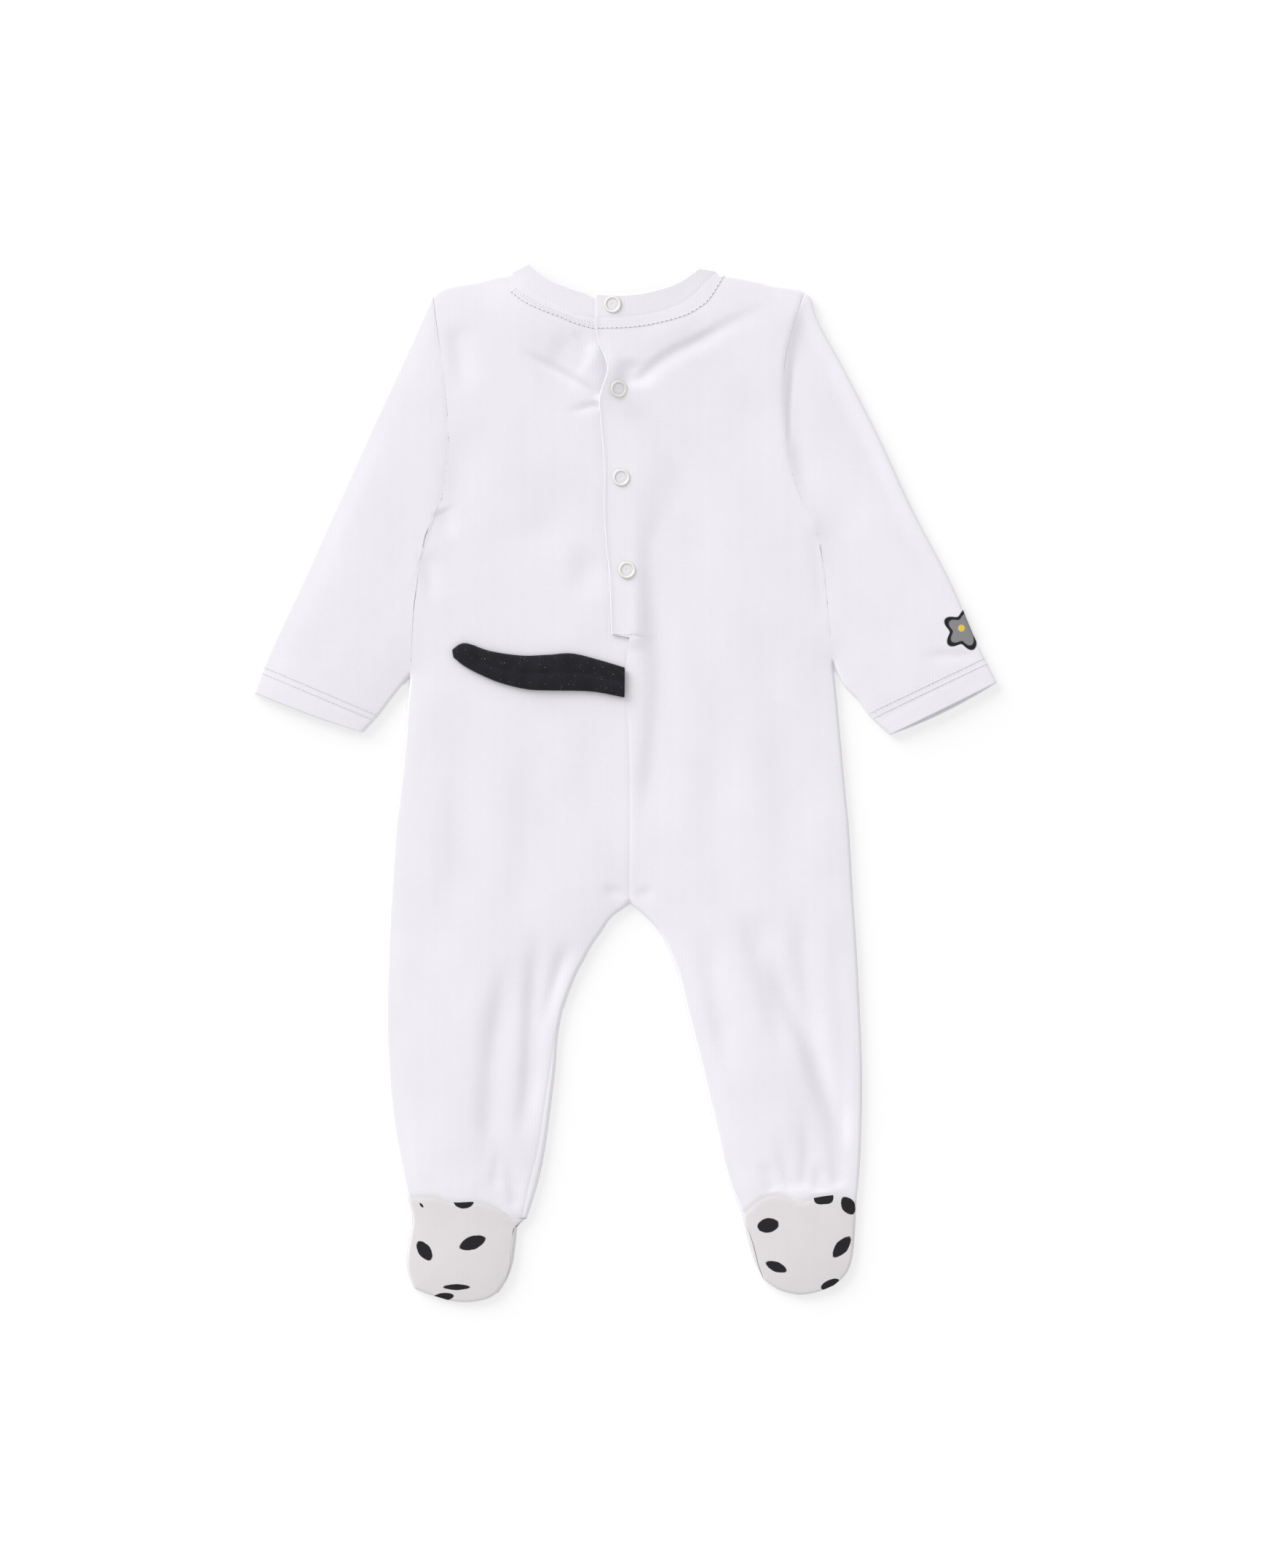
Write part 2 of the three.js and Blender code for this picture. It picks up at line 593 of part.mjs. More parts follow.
function bandBackLeft() {
  const sides = {
    top: [
      { points: NECK_EDGE.left, inset: HALF_WALL, upTo: 0.6 },
      { points: NECK_EDGE.under, inset: HALF_WALL, upTo: 1 },
    ],
    bottom: [
      { points: BAND_SEAM.left, inset: HALF_GAP, upTo: BAND_UNDERLAP_SHARE },
      { points: BAND_SEAM.under, inset: HALF_GAP, upTo: 1 },
    ],
    left: [{ points: [NECK_EDGE.left[0], BAND_SEAM.left[0]], inset: 0, upTo: 1 }],
    right: [{ points: [[4, 280], [4, 269.3]], inset: 0, upTo: 1 }],
  };
  const grid = patch(sides, BAND_LEFT_ACROSS, BAND_DOWN);
  return toMesh('neck_band_back_left', sheetTriangles(raise(grid, leftBackHeight), OVER_FRONT), WHITE_JERSEY);
}

function bandBackRight() {
  const sides = {
    top: [{ points: NECK_EDGE.right, inset: HALF_WALL, upTo: 1 }],
    bottom: [{ points: BAND_SEAM.right, inset: HALF_GAP, upTo: 1 }],
    left: [{ points: [[-17, 282.6], [-17, 268.4]], inset: 0, upTo: 1 }],
    right: [{ points: [[42, 297], [52.5, 295.2]], inset: 0, upTo: 1 }],
  };
  const grid = patch(sides, BAND_RIGHT_ACROSS, BAND_DOWN);
  return toMesh('neck_band_back_right', sheetTriangles(raise(grid, rightBackHeight), OVER_FRONT), WHITE_JERSEY);
}

function bandFront() {
  const upper = dropped([...NECK_EDGE.left.slice(0, -1), ...NECK_EDGE.right]);
  const lowerLeft = FRONT_SEAM.slice(0, NECK_SPLIT + 1);
  const lowerRight = FRONT_SEAM.slice(NECK_SPLIT);
  const sides = {
    top: [{ points: upper, inset: 0, upTo: 1 }],
    bottom: [
      { points: lowerLeft, inset: HALF_GAP, upTo: 0.5 },
      { points: lowerRight, inset: HALF_GAP, upTo: 1 },
    ],
    left: [{ points: [upper[0], FRONT_SEAM[0]], inset: 0, upTo: 1 }],
    right: [{ points: [upper.at(-1), FRONT_SEAM[FRONT_NECK_STEPS]], inset: 0, upTo: 1 }],
  };
  const leftShares = FRONT_ACROSS
    .filter((share) => share >= SHOULDER_SHARE)
    .map((share) => (share - SHOULDER_SHARE) / (1 - SHOULDER_SHARE) / 2);
  const across = [...leftShares, ...leftShares.slice(0, -1).reverse().map((share) => 1 - share)];
  const grid = patch(sides, across, [0, 0.5, 1]);
  return toMesh('neck_band_front', sheetTriangles(raise(grid, () => HALF_WALL), ON_SURFACE), WHITE_JERSEY);
}

// Sleeves: flattened tubes from the armhole to the cuff

const SLEEVE_DOWN = evenShares(15);
const SLEEVE_SETTLE = 4;
const CHEST_SHARE = 0.5;
const BESIDE_SHARE = 0.64;

function sleeveTube(name, sides) {
  const plan = patch(sides, SLEEVE_ACROSS, SLEEVE_DOWN, SLEEVE_SETTLE);
  const upper = raise(plan, upperHeight);
  const lower = raise(plan, lowerHeight);
  const rings = upper.map((row, index) => [...row, ...lower[index].slice(1, -1).reverse()]);
  return toMesh(name, tubeTriangles(rings), WHITE_JERSEY);
}

function innerBoundary(sleeve, side) {
  return [
    { points: side.chest, inset: HALF_WALL + SEAM_GAP * 2, upTo: CHEST_SHARE },
    { points: sleeve.beside, inset: HALF_WALL + SEAM_GAP * 2, upTo: BESIDE_SHARE },
    { points: sleeve.inner, inset: HALF_WALL, upTo: 1 },
  ];
}

function sleeveLeft() {
  return sleeveTube('sleeve_left', {
    top: [{ points: ARMHOLE_LEFT, inset: HALF_GAP, upTo: 1 }],
    bottom: [{ points: SLEEVE_LEFT.cuff, inset: 0, upTo: 1 }],
    left: [{ points: SLEEVE_LEFT.outer, inset: HALF_WALL, upTo: 1 }],
    right: innerBoundary(SLEEVE_LEFT, SIDE_LEFT),
  });
}

function sleeveRight() {
  return sleeveTube('sleeve_right', {
    top: [{ points: [...ARMHOLE_RIGHT].reverse(), inset: HALF_GAP, upTo: 1 }],
    bottom: [{ points: SLEEVE_RIGHT.cuff, inset: 0, upTo: 1 }],
    left: innerBoundary(SLEEVE_RIGHT, SIDE_RIGHT),
    right: [{ points: SLEEVE_RIGHT.outer, inset: HALF_WALL, upTo: 1 }],
  });
}

// Feet: the sole lies over the foot upper

function sole(name, heel, outline, across) {
  const sides = {
    top: [{ points: heel, inset: HALF_GAP, upTo: 1 }],
    bottom: [{ points: outline.toe, inset: HALF_WALL, upTo: 1 }],
    left: [{ points: outline.left, inset: HALF_WALL, upTo: 1 }],
    right: [{ points: outline.right, inset: HALF_WALL, upTo: 1 }],
  };
  const grid = patch(sides, across, SOLE_DOWN);
  return toMesh(name, sheetTriangles(raise(grid, upperHeight), OVER_FRONT), SOLE_JERSEY);
}

function footUpper(name, ankle, outline) {
  const sides = {
    top: [{ points: ankle, inset: HALF_GAP, upTo: 1 }],
    bottom: [{ points: outline.toe, inset: 0, upTo: 1 }],
    left: [{ points: outline.left, inset: 0, upTo: 1 }],
    right: [{ points: outline.right, inset: 0, upTo: 1 }],
  };
  const grid = patch(sides, evenShares(8), evenShares(6));
  return toMesh(name, sheetTriangles(raise(grid, () => HALF_WALL), ON_SURFACE), WHITE_JERSEY);
}

// Tail: two layers pressed flat, lying on the left back

const TAIL_DOWN = [0, 0.12, 0.3, 0.5, 0.7, 0.88, 1];
const TAIL_STEPS = 18;

function tail() {
  const sides = {
    top: [{ points: TAIL.top, inset: 0, upTo: 1 }],
    bottom: [{ points: TAIL.bottom, inset: 0, upTo: 1 }],
    left: [{ points: [TAIL.top[0], TAIL.bottom[0]], inset: 0, upTo: 1 }],
    right: [{ points: [TAIL.top.at(-1), TAIL.bottom.at(-1)], inset: 0, upTo: 1 }],
  };
  const thickness = (row) => {
    const away = Math.abs(TAIL_DOWN[row] - 0.5) * 2;
    return mix(TAIL_THICKNESS, TAIL_EDGE_THICKNESS, away ** 3);
  };
  const plan = patch(sides, evenShares(TAIL_STEPS), TAIL_DOWN);
  const grid = plan.map((line, row) => line.map((point) => {
    const rest = upperHeight(point.x, point.y) + HALF_WALL + SEAM_GAP;
    return new THREE.Vector3(point.x, point.y, rest + thickness(row) / 2);
  }));
  const half = (row) => thickness(row) / 2;
  return toMesh('tail', sheetTriangles(grid, { half }), BLACK_JERSEY);
}

// Ring snap: a raised rim round a recessed disc

function snap({ name, x, y }) {
  const rim = (SNAP_RADIUS + SNAP_RECESS_RADIUS) / 2;
  const edge = SNAP_RADIUS - SNAP_EDGE;
  const profile = [
    [0, 0], [edge, 0], [SNAP_RADIUS, SNAP_EDGE], [edge, SNAP_HEIGHT - SNAP_EDGE],
    [rim, SNAP_HEIGHT], [SNAP_RECESS_RADIUS, SNAP_PLATE], [0, SNAP_PLATE],
  ];
  const geometry = new THREE.LatheGeometry(profile.map(([r, h]) => new THREE.Vector2(r, h)), SNAP_SIDES);
  geometry.rotateX(Math.PI / 2);
  const mesh = new THREE.Mesh(geometry, new THREE.MeshStandardMaterial(SNAP_PLASTIC));
  mesh.name = name;
  const reach = SNAP_RADIUS;
  const around = [[0, 0], [reach, 0], [-reach, 0], [0, reach], [0, -reach]];
  const rest = Math.max(...around.map(([dx, dy]) => rightBackHeight(x + dx, y + dy)));
  mesh.position.set(x, y, rest + HALF_WALL + LAY_GAP);
  return mesh;
}

const romper = new THREE.Group();
romper.add(front(), backLeft(), backRight());
romper.add(bandFront(), bandBackLeft(), bandBackRight());
romper.add(sleeveLeft(), sleeveRight());
romper.add(footUpper('foot_upper_left', ANKLE_LEFT, SOLE_LEFT));
romper.add(footUpper('foot_upper_right', ANKLE_RIGHT, SOLE_RIGHT));
romper.add(sole('sole_left', HEEL_SEAM_LEFT, SOLE_LEFT, BACK_LEFT_ACROSS));
romper.add(sole('sole_right', HEEL_SEAM_RIGHT, SOLE_RIGHT, BACK_RIGHT_ACROSS));
romper.add(tail());
SNAPS.forEach((entry) => romper.add(snap(entry)));

export default romper;
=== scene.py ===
import math

import bpy
import numpy as np
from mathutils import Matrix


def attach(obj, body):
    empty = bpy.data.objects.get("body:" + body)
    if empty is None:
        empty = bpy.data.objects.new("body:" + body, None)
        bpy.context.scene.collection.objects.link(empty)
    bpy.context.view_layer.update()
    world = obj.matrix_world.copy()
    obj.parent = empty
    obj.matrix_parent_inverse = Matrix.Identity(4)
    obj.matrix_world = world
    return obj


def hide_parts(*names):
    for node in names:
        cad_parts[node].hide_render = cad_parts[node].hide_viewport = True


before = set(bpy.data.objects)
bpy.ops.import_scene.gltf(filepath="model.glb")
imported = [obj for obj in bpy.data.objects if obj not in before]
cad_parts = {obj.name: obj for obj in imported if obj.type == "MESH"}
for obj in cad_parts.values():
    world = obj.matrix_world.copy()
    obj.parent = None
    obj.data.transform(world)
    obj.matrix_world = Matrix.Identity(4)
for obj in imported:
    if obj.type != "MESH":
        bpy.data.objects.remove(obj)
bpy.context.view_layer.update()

bl_info = {
    "name": "Footed Baby Romper",
    "version": (1, 0, 0),
    "blender": (4, 5, 0),
    "location": "3D View > Sidebar > Romper",
    "description": "A white jersey romper with feet, laid flat with its back up",
    "category": "Object",
}

# All tables and lengths below are in millimetres, and meshes are made in metres

MM = 0.001
SHARP_ANGLE = math.radians(60)
FINE_STEPS = (0, 0.03, 0.12, 0.3, 0.55, 0.9, 1.4, 2, 2.8, 3.8)
CROWDED = 0.35
LINE_STEP = 3
STITCH_STEP = 4

# Half of the gap between two sewn pieces, and the gap between a sleeve and the body. Both are
# negative, so the pieces overlap. Short slits still show under the arms.
HALF_GAP = -0.03
SLEEVE_LAP = -0.6
LAY_GAP = 0.3
TAIL_GAP = 0.4
EDGE_INSET = 0.4
LOWER_INSET = 0.2
EDGE_BEND = 1.6
SETTLED = (0.6, 7)
SEWN_EDGE = 0
FREE_EDGE = 0.6
LOFT_REACH = 14

HEM_LIFT = 0.12
HEM_SHARES = (0.938, 0.95)
MOUTH_START = 0.9
MOUTH_LEAST = 0.1
SLEEVE_SIZE = (80, 250)
FOOT_SIZE = (66, 55)
FOOT_UPPER_SIZE = (66, 50)

OPENING_END = 84.5
OPENING_FADE = 9
OVERLAP_LIFT = 1.3
OVERLAP_DIP = 0.2
OVERLAP_FLAT = 4.5
OVERLAP_FADE = (16, 30)
OVERLAP_FADE_RISE = (130, 200)
FOLDED_EDGE = {"rise": 0.35, "reach": 1.6}

# The overlap gapes above the second snap: height, then middle and reach in X and Y
GAPE_OVER = (2.3, (-9.5, 234, 6.5, 11))
GAPE_UNDER = (0.6, (-12, 240, 5, 11))

FRONT_NECK_DROP = 14
FRONT_NECK_MIDDLE = -6
FRONT_NECK_HALF = 59
BAND_HEIGHT = 12.6
BAND_CELL = 1.2

SHOULDER_LEFT = [(-111, 282), (-107.5, 285.5), (-99.5, 288), (-84, 290.5), (-75.5, 293), (-67, 294.2)]
SHOULDER_RIGHT = [(54, 294.2), (62, 293.2), (76, 290.6), (85, 288.3), (97, 286.6), (103, 284)]

ARMHOLE_LEFT = [
    (-111, 282), (-108.5, 262), (-106, 245.5), (-103, 214.5), (-102.5, 193), (-104.5, 172.5),
    (-107.5, 161.5),
]
ARMHOLE_RIGHT = [
    (103, 284), (96.5, 263), (92.5, 245.5), (91.5, 227), (92.5, 208.5), (95.5, 185), (102, 165),
    (108, 155.5),
]

SIDE_LEFT = {
    "chest": [(-107.5, 161.5), (-115.5, 143), (-119, 124), (-122, 103), (-123.3, 84.5)],
    "cut": [(-123.3, 84.5), (-123.3, 84)],
    "waist": [
        (-123.3, 84), (-124.5, 61.5), (-126.5, 42), (-128.5, 15), (-131.5, -10), (-133.5, -27),
        (-136.3, -69.5),
    ],
    "leg": [
        (-136.3, -69.5), (-137.5, -94), (-138.5, -136), (-137, -169.5), (-134.5, -195),
        (-130, -220), (-125.8, -239.4),
    ],
}
SIDE_RIGHT = {
    "chest": [(108, 155.5), (113, 140), (116.5, 109), (118.8, 84.5)],
    "cut": [(118.8, 84.5), (118.8, 84)],
    "waist": [
        (118.8, 84), (120, 69.5), (122, 53), (124, 32), (127.5, -6), (129.5, -27), (132, -69.5),
    ],
    "leg": [
        (132, -69.5), (134, -98), (136.5, -148.5), (137, -178), (136.5, -203), (135.5, -224),
        (133.8, -241),
    ],
}

OVERLAP_EDGE = {
    "yoke": [
        (-17, 268.4), (-16.8, 261), (-15.4, 254), (-11, 243), (-10.4, 237), (-13, 229.5),
        (-14.9, 222), (-14.5, 212), (-13, 195), (-12, 178.5), (-12.4, 161.5),
    ],
    "chest": [(-12.4, 161.5), (-12, 150), (-10.6, 132.5), (-9, 119), (-8, 84.5)],
    "cut": [(-8, 84.5), (2.5, 84)],
}
OVERLAP_BASE = [(-17, 268.4), (-9, 248), (0, 222), (3, 185), (3, 130), (2.6, 84.2)]
UNDERLAP_EDGE = {
    "yoke": [(4, 269.3), (4, 161.5)],
    "chest": [(4, 161.5), (4, 84.5)],
    "cut": [(4, 84.5), (2.5, 84)],
}
CENTRE_SEAM = [
    (2.5, 84), (0.4, 67), (0.2, 49), (1.7, 34), (2.6, 0), (2.7, -30), (2.3, -58), (3, -69.5),
]

UPPER_INNER_LEG_LEFT = [
    (3, -69.5), (-8, -77.5), (-13.5, -85.5), (-19.5, -94), (-24, -102.5), (-28.5, -111), (-35, -128),
]
LOWER_INNER_LEG_LEFT = [
    (-35, -128), (-38.5, -145), (-40.2, -165.5), (-43.2, -190), (-46.2, -211.5), (-50, -230),
    (-56.5, -251),
]
LOWER_LEG_SEAM_LEFT = [
    (-35.4, -128), (-39.8, -145), (-43.3, -165.5), (-47, -190), (-50.4, -211.5), (-55, -230),
    (-59.5, -250.8),
]
INNER_LEG_LEFT = UPPER_INNER_LEG_LEFT + LOWER_INNER_LEG_LEFT[1:]
LEG_SEAM_LEFT = UPPER_INNER_LEG_LEFT + LOWER_LEG_SEAM_LEFT[1:]
UPPER_INNER_LEG_RIGHT = [
    (3, -69.5), (12.5, -77.5), (19.5, -85.5), (24, -94), (27.5, -102.5), (30.5, -111),
    (34.5, -127.5), (39, -145), (43.5, -163), (47, -178), (52, -199),
]
LOWER_INNER_LEG_RIGHT = [(52, -199), (58, -225), (64, -241), (67.5, -249)]
LOWER_LEG_SEAM_RIGHT = [(52.4, -199), (60, -225), (67, -241), (70.4, -246.5)]
INNER_LEG_RIGHT = UPPER_INNER_LEG_RIGHT + LOWER_INNER_LEG_RIGHT[1:]
LEG_SEAM_RIGHT = UPPER_INNER_LEG_RIGHT + LOWER_LEG_SEAM_RIGHT[1:]

HEEL_SEAM_LEFT = [
    (-125.8, -239.4), (-115.3, -238.4), (-108.8, -238.8), (-99, -241.6), (-88, -241.4),
    (-78.3, -242.8), (-72, -245.8), (-65.3, -250.6), (-56.5, -251),
]
HEEL_SEAM_RIGHT = [
    (67.5, -249), (75, -242.3), (82, -238), (89.3, -237.6), (95, -239.2), (99.5, -241.2),
    (104, -241.2), (109, -239.2), (120, -237.6), (127, -238.4), (133.8, -241),
]
ANKLE_LEFT = [(-125.8, -239.4), (-92, -247), (-56.5, -251)]
ANKLE_RIGHT = [(67.5, -249), (100, -247), (133.8, -241)]

FOOT_LEFT = {
    "left": [
        (-125.8, -239.4), (-124, -245.5), (-123, -252.5), (-124.5, -262), (-126.2, -272.5),
        (-125.8, -282), (-122, -292),
    ],
    "toe": [
        (-122, -292), (-116, -294.5), (-107.3, -297.4), (-99, -299.5), (-90, -300),
        (-80, -298.2), (-73.3, -294.4),
    ],
    "right": [
        (-56.5, -251), (-61.8, -256), (-62.6, -262), (-63.6, -270), (-64.8, -278), (-68, -286.5),
        (-73.3, -294.4),
    ],
}
FOOT_RIGHT = {
    "left": [(67.5, -249), (70.8, -264.2), (75, -277.6), (80, -287)],
    "toe": [
        (80, -287), (87.6, -292.3), (95, -294.8), (102.7, -295.7), (112.4, -293.8), (120.8, -290.4),
    ],
    "right": [
        (133.8, -241), (133, -256.6), (132, -270), (130, -279.3), (126.6, -285.2), (120.8, -290.4),
    ],
}
SOLE_EDGE_LEFT = [
    (-56.5, -251), (-63.6, -256), (-65.3, -262), (-66.3, -270), (-66.4, -278), (-68.4, -286.5),
    (-73.3, -294.4),
]
SOLE_EDGE_RIGHT = [(67.5, -249), (73.4, -264.2), (76.8, -277.6), (80, -287)]

SLEEVE_LEFT = {
    "outer": [
        (-112, 281.4), (-114.8, 275.5), (-130, 242), (-149.5, 200), (-168.5, 158), (-187.5, 116),
        (-207, 74), (-215, 52.5),
    ],
    "beside": [(-123.3, 84.5), (-124.5, 61.5)],
    "inner": [(-124.5, 61.5), (-134.6, 48.7), (-142, 39), (-151, 29)],
    "cuff": [(-215, 52.5), (-197.5, 45.5), (-173, 36.2), (-151, 29)],
}
SLEEVE_RIGHT = {
    "outer": [
        (104.3, 283.4), (108.3, 279.6), (112, 267), (125.5, 242), (147, 200), (166.5, 158),
        (188.5, 116), (203, 82.5), (215, 58.5),
    ],
    "beside": [(118.8, 84.5), (120, 69.5)],
    "inner": [(120, 69.5), (126, 56.5), (134, 48), (141, 38.5), (152.5, 27.7)],
    "cuff": [(152.5, 27.7), (178.5, 40.3), (215, 58.5)],
}

NECK_EDGE = {
    "left": [(-55.7, 300), (-48.5, 294), (-41.5, 290), (-29, 285), (-24, 283.8)],
    "under": [(-24, 283.8), (-19, 281.2), (-14, 280.2), (4, 279.8)],
    "right": [(-17, 282.6), (-5, 281.9), (6.5, 282.6), (18.5, 285), (30.5, 289.3), (42, 297)],
}
BAND_SEAM = {
    "left": [
        (-65.5, 295), (-59.5, 288), (-47.5, 280.5), (-35.5, 274), (-26.5, 269.8), (-17, 268.4),
    ],
    "under": [(-17, 268.4), (4, 269.3)],
    "right": [
        (-17, 268.4), (2.5, 269.2), (17, 271.5), (30, 275.7), (38.5, 281), (44.7, 287.3), (52.5, 295.2),
    ],
}

TAIL = {
    "top": [
        (-99.8, 77), (-95, 80.4), (-89.7, 80.2), (-78, 76.2), (-60.3, 73.6), (-44.3, 74),
        (-31, 74.8), (-16.2, 71.4), (0, 66.6),
    ],
    "bottom": [
        (-99.2, 72.4), (-93.5, 67.8), (-84.6, 63), (-72.5, 58), (-57.3, 54.2), (-44.3, 53.5),
        (-28.4, 53.3), (-16.2, 52.5), (-0.3, 49.4),
    ],
}

SNAPS = [
    {"node": "snap_1", "at": (-7.2, 276), "tilt": 3, "towards": 200},
    {"node": "snap_2", "at": (-3.7, 227.2), "tilt": 19, "towards": -12},
    {"node": "snap_3", "at": (-2.2, 176.2), "tilt": 3, "towards": 0},
    {"node": "snap_4", "at": (1.1, 122.9), "tilt": 4, "towards": 20},
]

# Folds: a line, its reach to each side, its height (a valley is negative), the share of that
# height which rises again beside it (right of the line where positive), and the shares of the
# line over which it fades in and out
FOLDS = [
    ([(-62, 250), (-46, 242), (-35.5, 236), (-23.3, 228.9), (-15.3, 222.2)], 1.2, -1.8, 0.5, 0.4, 0.03),
    ([(-36, 213.5), (-24, 217), (-15, 219)], 0.9, -1.2, -0.4, 0.7, 0.03),
    ([(-44, 256), (-30, 250), (-19, 243)], 6, -1, 0.3, 0.4, 0.2),
    ([(90, 279), (60.7, 266), (44.3, 257), (24.6, 247), (14.1, 239), (5, 229)], 1.9, -1.5, 0.45, 0.6, 0.1),
    ([(-1, 219), (9.5, 210), (20.8, 198.2), (32.1, 180.2), (35, 160)], 3, -1, -0.3, 0.2, 0.6),
    ([(2, 246), (2.4, 236), (3.4, 226)], 3.4, -1.8, 0, 0.4, 0.4),
    ([(-30, 262), (-25, 256), (-19.5, 250)], 2, -0.8, 0.3, 0.4, 0.2),
    ([(-98, 268), (-95, 245), (-93, 222)], 3.6, -1.2, -0.4, 0.3, 0.5),
    ([(-96, 210), (-95, 180), (-100, 150)], 5, -0.9, -0.3, 0.4, 0.4),
    ([(-114.5, 135), (-110, 101.2)], 2.6, -1, -0.5, 0.3, 0.5),
    ([(-106.5, 158), (-98, 140)], 2.6, -1.1, -0.4, 0.1, 0.7),
    ([(13, 140), (16, 115), (18, 85), (19, 55), (16, 18), (11, -35)], 4, -1.6, 0.4, 0.3, 0.3),
    ([(5.5, 150), (6.5, 100), (6.5, 40)], 2, 0.4, 0, 0.3, 0.4),
    ([(33, 95), (31, 20), (27, -40)], 8, -0.7, -0.4, 0.5, 0.5),
    ([(50, 90), (54, 0), (60, -80)], 8, -1.2, 0.3, 0.5, 0.5),
    ([(86, 90), (92, 0), (98, -90)], 8, -1.3, 0.3, 0.5, 0.5),
    ([(-23.7, 140), (-23.7, 102)], 5, -1.2, 0.3, 0.5, 0.5),
    ([(-22, 48), (-19, 10), (-17, -40)], 7, -0.7, 0.3, 0.5, 0.5),
    ([(-50, 45), (-54, -20), (-60, -100)], 8, -1.3, -0.3, 0.5, 0.5),
    ([(-88, 50), (-94, -30), (-98, -110)], 8, -1.1, -0.3, 0.5, 0.5),
    ([(-66, -95), (-71, -124.6), (-76, -159), (-78, -204.8), (-76, -230)], 4.5, -2.1, -0.4, 0.3, 0.3),
    ([(-50, -80), (-52, -105.4), (-54, -138), (-56, -176), (-61, -214)], 3.2, -1.9, -0.35, 0.3, 0.3),
    ([(-31, -88), (-35.3, -99.8), (-41, -128.5), (-44.7, -151)], 3.6, -1.8, -0.3, 0.3, 0.5),
    ([(-71, -200), (-73, -218), (-76, -236)], 2.6, -0.8, -0.4, 0.6, 0.2),
    ([(-68, -206), (-65, -230), (-63, -246)], 2.6, -0.9, 0.4, 0.6, 0.1),
    ([(80, -95), (88, -113), (101, -138), (111, -166.6), (122, -195.3), (130, -214)],
     3.6, -2.9, -0.35, 0.25, 0.2),
    ([(44.9, -80.6), (50.6, -109), (56.4, -143.6), (62, -175)], 4.5, -1.5, -0.4, 0.3, 0.4),
    ([(67.8, -71), (77.3, -99.8), (87, -132.3), (96, -165)], 4.5, -1.7, 0.4, 0.3, 0.4),
    ([(100, -61.6), (104, -109), (113.6, -166.6), (121, -195)], 4, -1.5, -0.4, 0.3, 0.3),
    ([(121, -71), (125, -147.4), (129, -204.5), (130, -230)], 3.6, -0.5, -0.3, 0.3, 0.2),
    ([(86, -196), (92, -218), (96, -236)], 2.8, -0.9, 0.5, 0.6, 0.1),
    ([(102, -180), (105, -210), (103, -236)], 3, -1.1, -0.4, 0.6, 0.1),
    ([(115, -190), (121, -213), (123, -234)], 3, -1, 0.4, 0.6, 0.1),
    ([(112, -216), (111, -236)], 2.4, -0.8, 0.5, 0.6, 0.1),
    ([(79, -216), (87, -235)], 2.6, -0.8, -0.5, 0.5, 0.1),
    ([(-13.2, -59.6), (1.5, -67.6)], 1.7, -1.1, 0.5, 0.4, 0.1),
    ([(18, -60), (6, -66)], 2, -0.8, -0.4, 0.5, 0.1),
    ([(108, 150), (112.5, 120), (114.5, 90)], 3, -0.7, 0.4, 0.2, 0.4),
    ([(103, 270), (97.5, 245), (96, 227), (97, 208), (100, 188), (108, 166)], 3.2, -1.2, -0.25, 0.1, 0.2),
    ([(97.7, 252), (95.1, 222.6), (94.7, 205.4), (95.6, 192.8)], 0.9, -0.7, 0, 0.3, 0.2),
    ([(170.3, 73.9), (190, 74), (206.4, 73.9)], 1.4, -0.8, 0.5, 0.4, 0.05),
    ([(124, 140), (146, 100), (165, 62)], 7, -0.5, -0.4, 0.3, 0.5),
]

# Folds are steeper on their upper left side than on their lower right one
FOLD_SPREAD = (2.1, 0.8)
FOLD_SHOULDER = {"share": 0.2, "away": 1.7, "reach": 1.2}

# Broad swells of the cloth: middle, reach along and across, turn in degrees, height
SWELLS = [
    (-52, 264, 26, 15, -25, 1.6), (28, 262, 22, 9, 25, 0.8), (-51.9, 143.6, 15, 13, 0, -0.9),
    (-60, 185, 24, 18, 0, 0.5), (-95, 20, 50, 16, 85, -0.5),
    (60, 120, 45, 20, 95, 0.6), (75, 205, 22, 18, 45, -0.6), (-90, -165, 70, 26, 90, 1.4),
    (74, -150, 65, 28, 108, 1.5), (-165, 120, 60, 14, 65, 0.4), (165, 120, 60, 14, 115, 0.4),
    (-105, -210, 20, 14, 90, 0.5), (70, -232, 9, 7, 20, 0.3), (108, -232, 8, 6, 0, 0.2),
    (-92, -232, 14, 7, 0, 0.3),
]

# Small uneven ripples all over the cloth
RIPPLES = 26
RIPPLE_HEIGHT = 0.05
RIPPLE_ACROSS = (25, 70)
RIPPLE_ALONG = (60, 220)

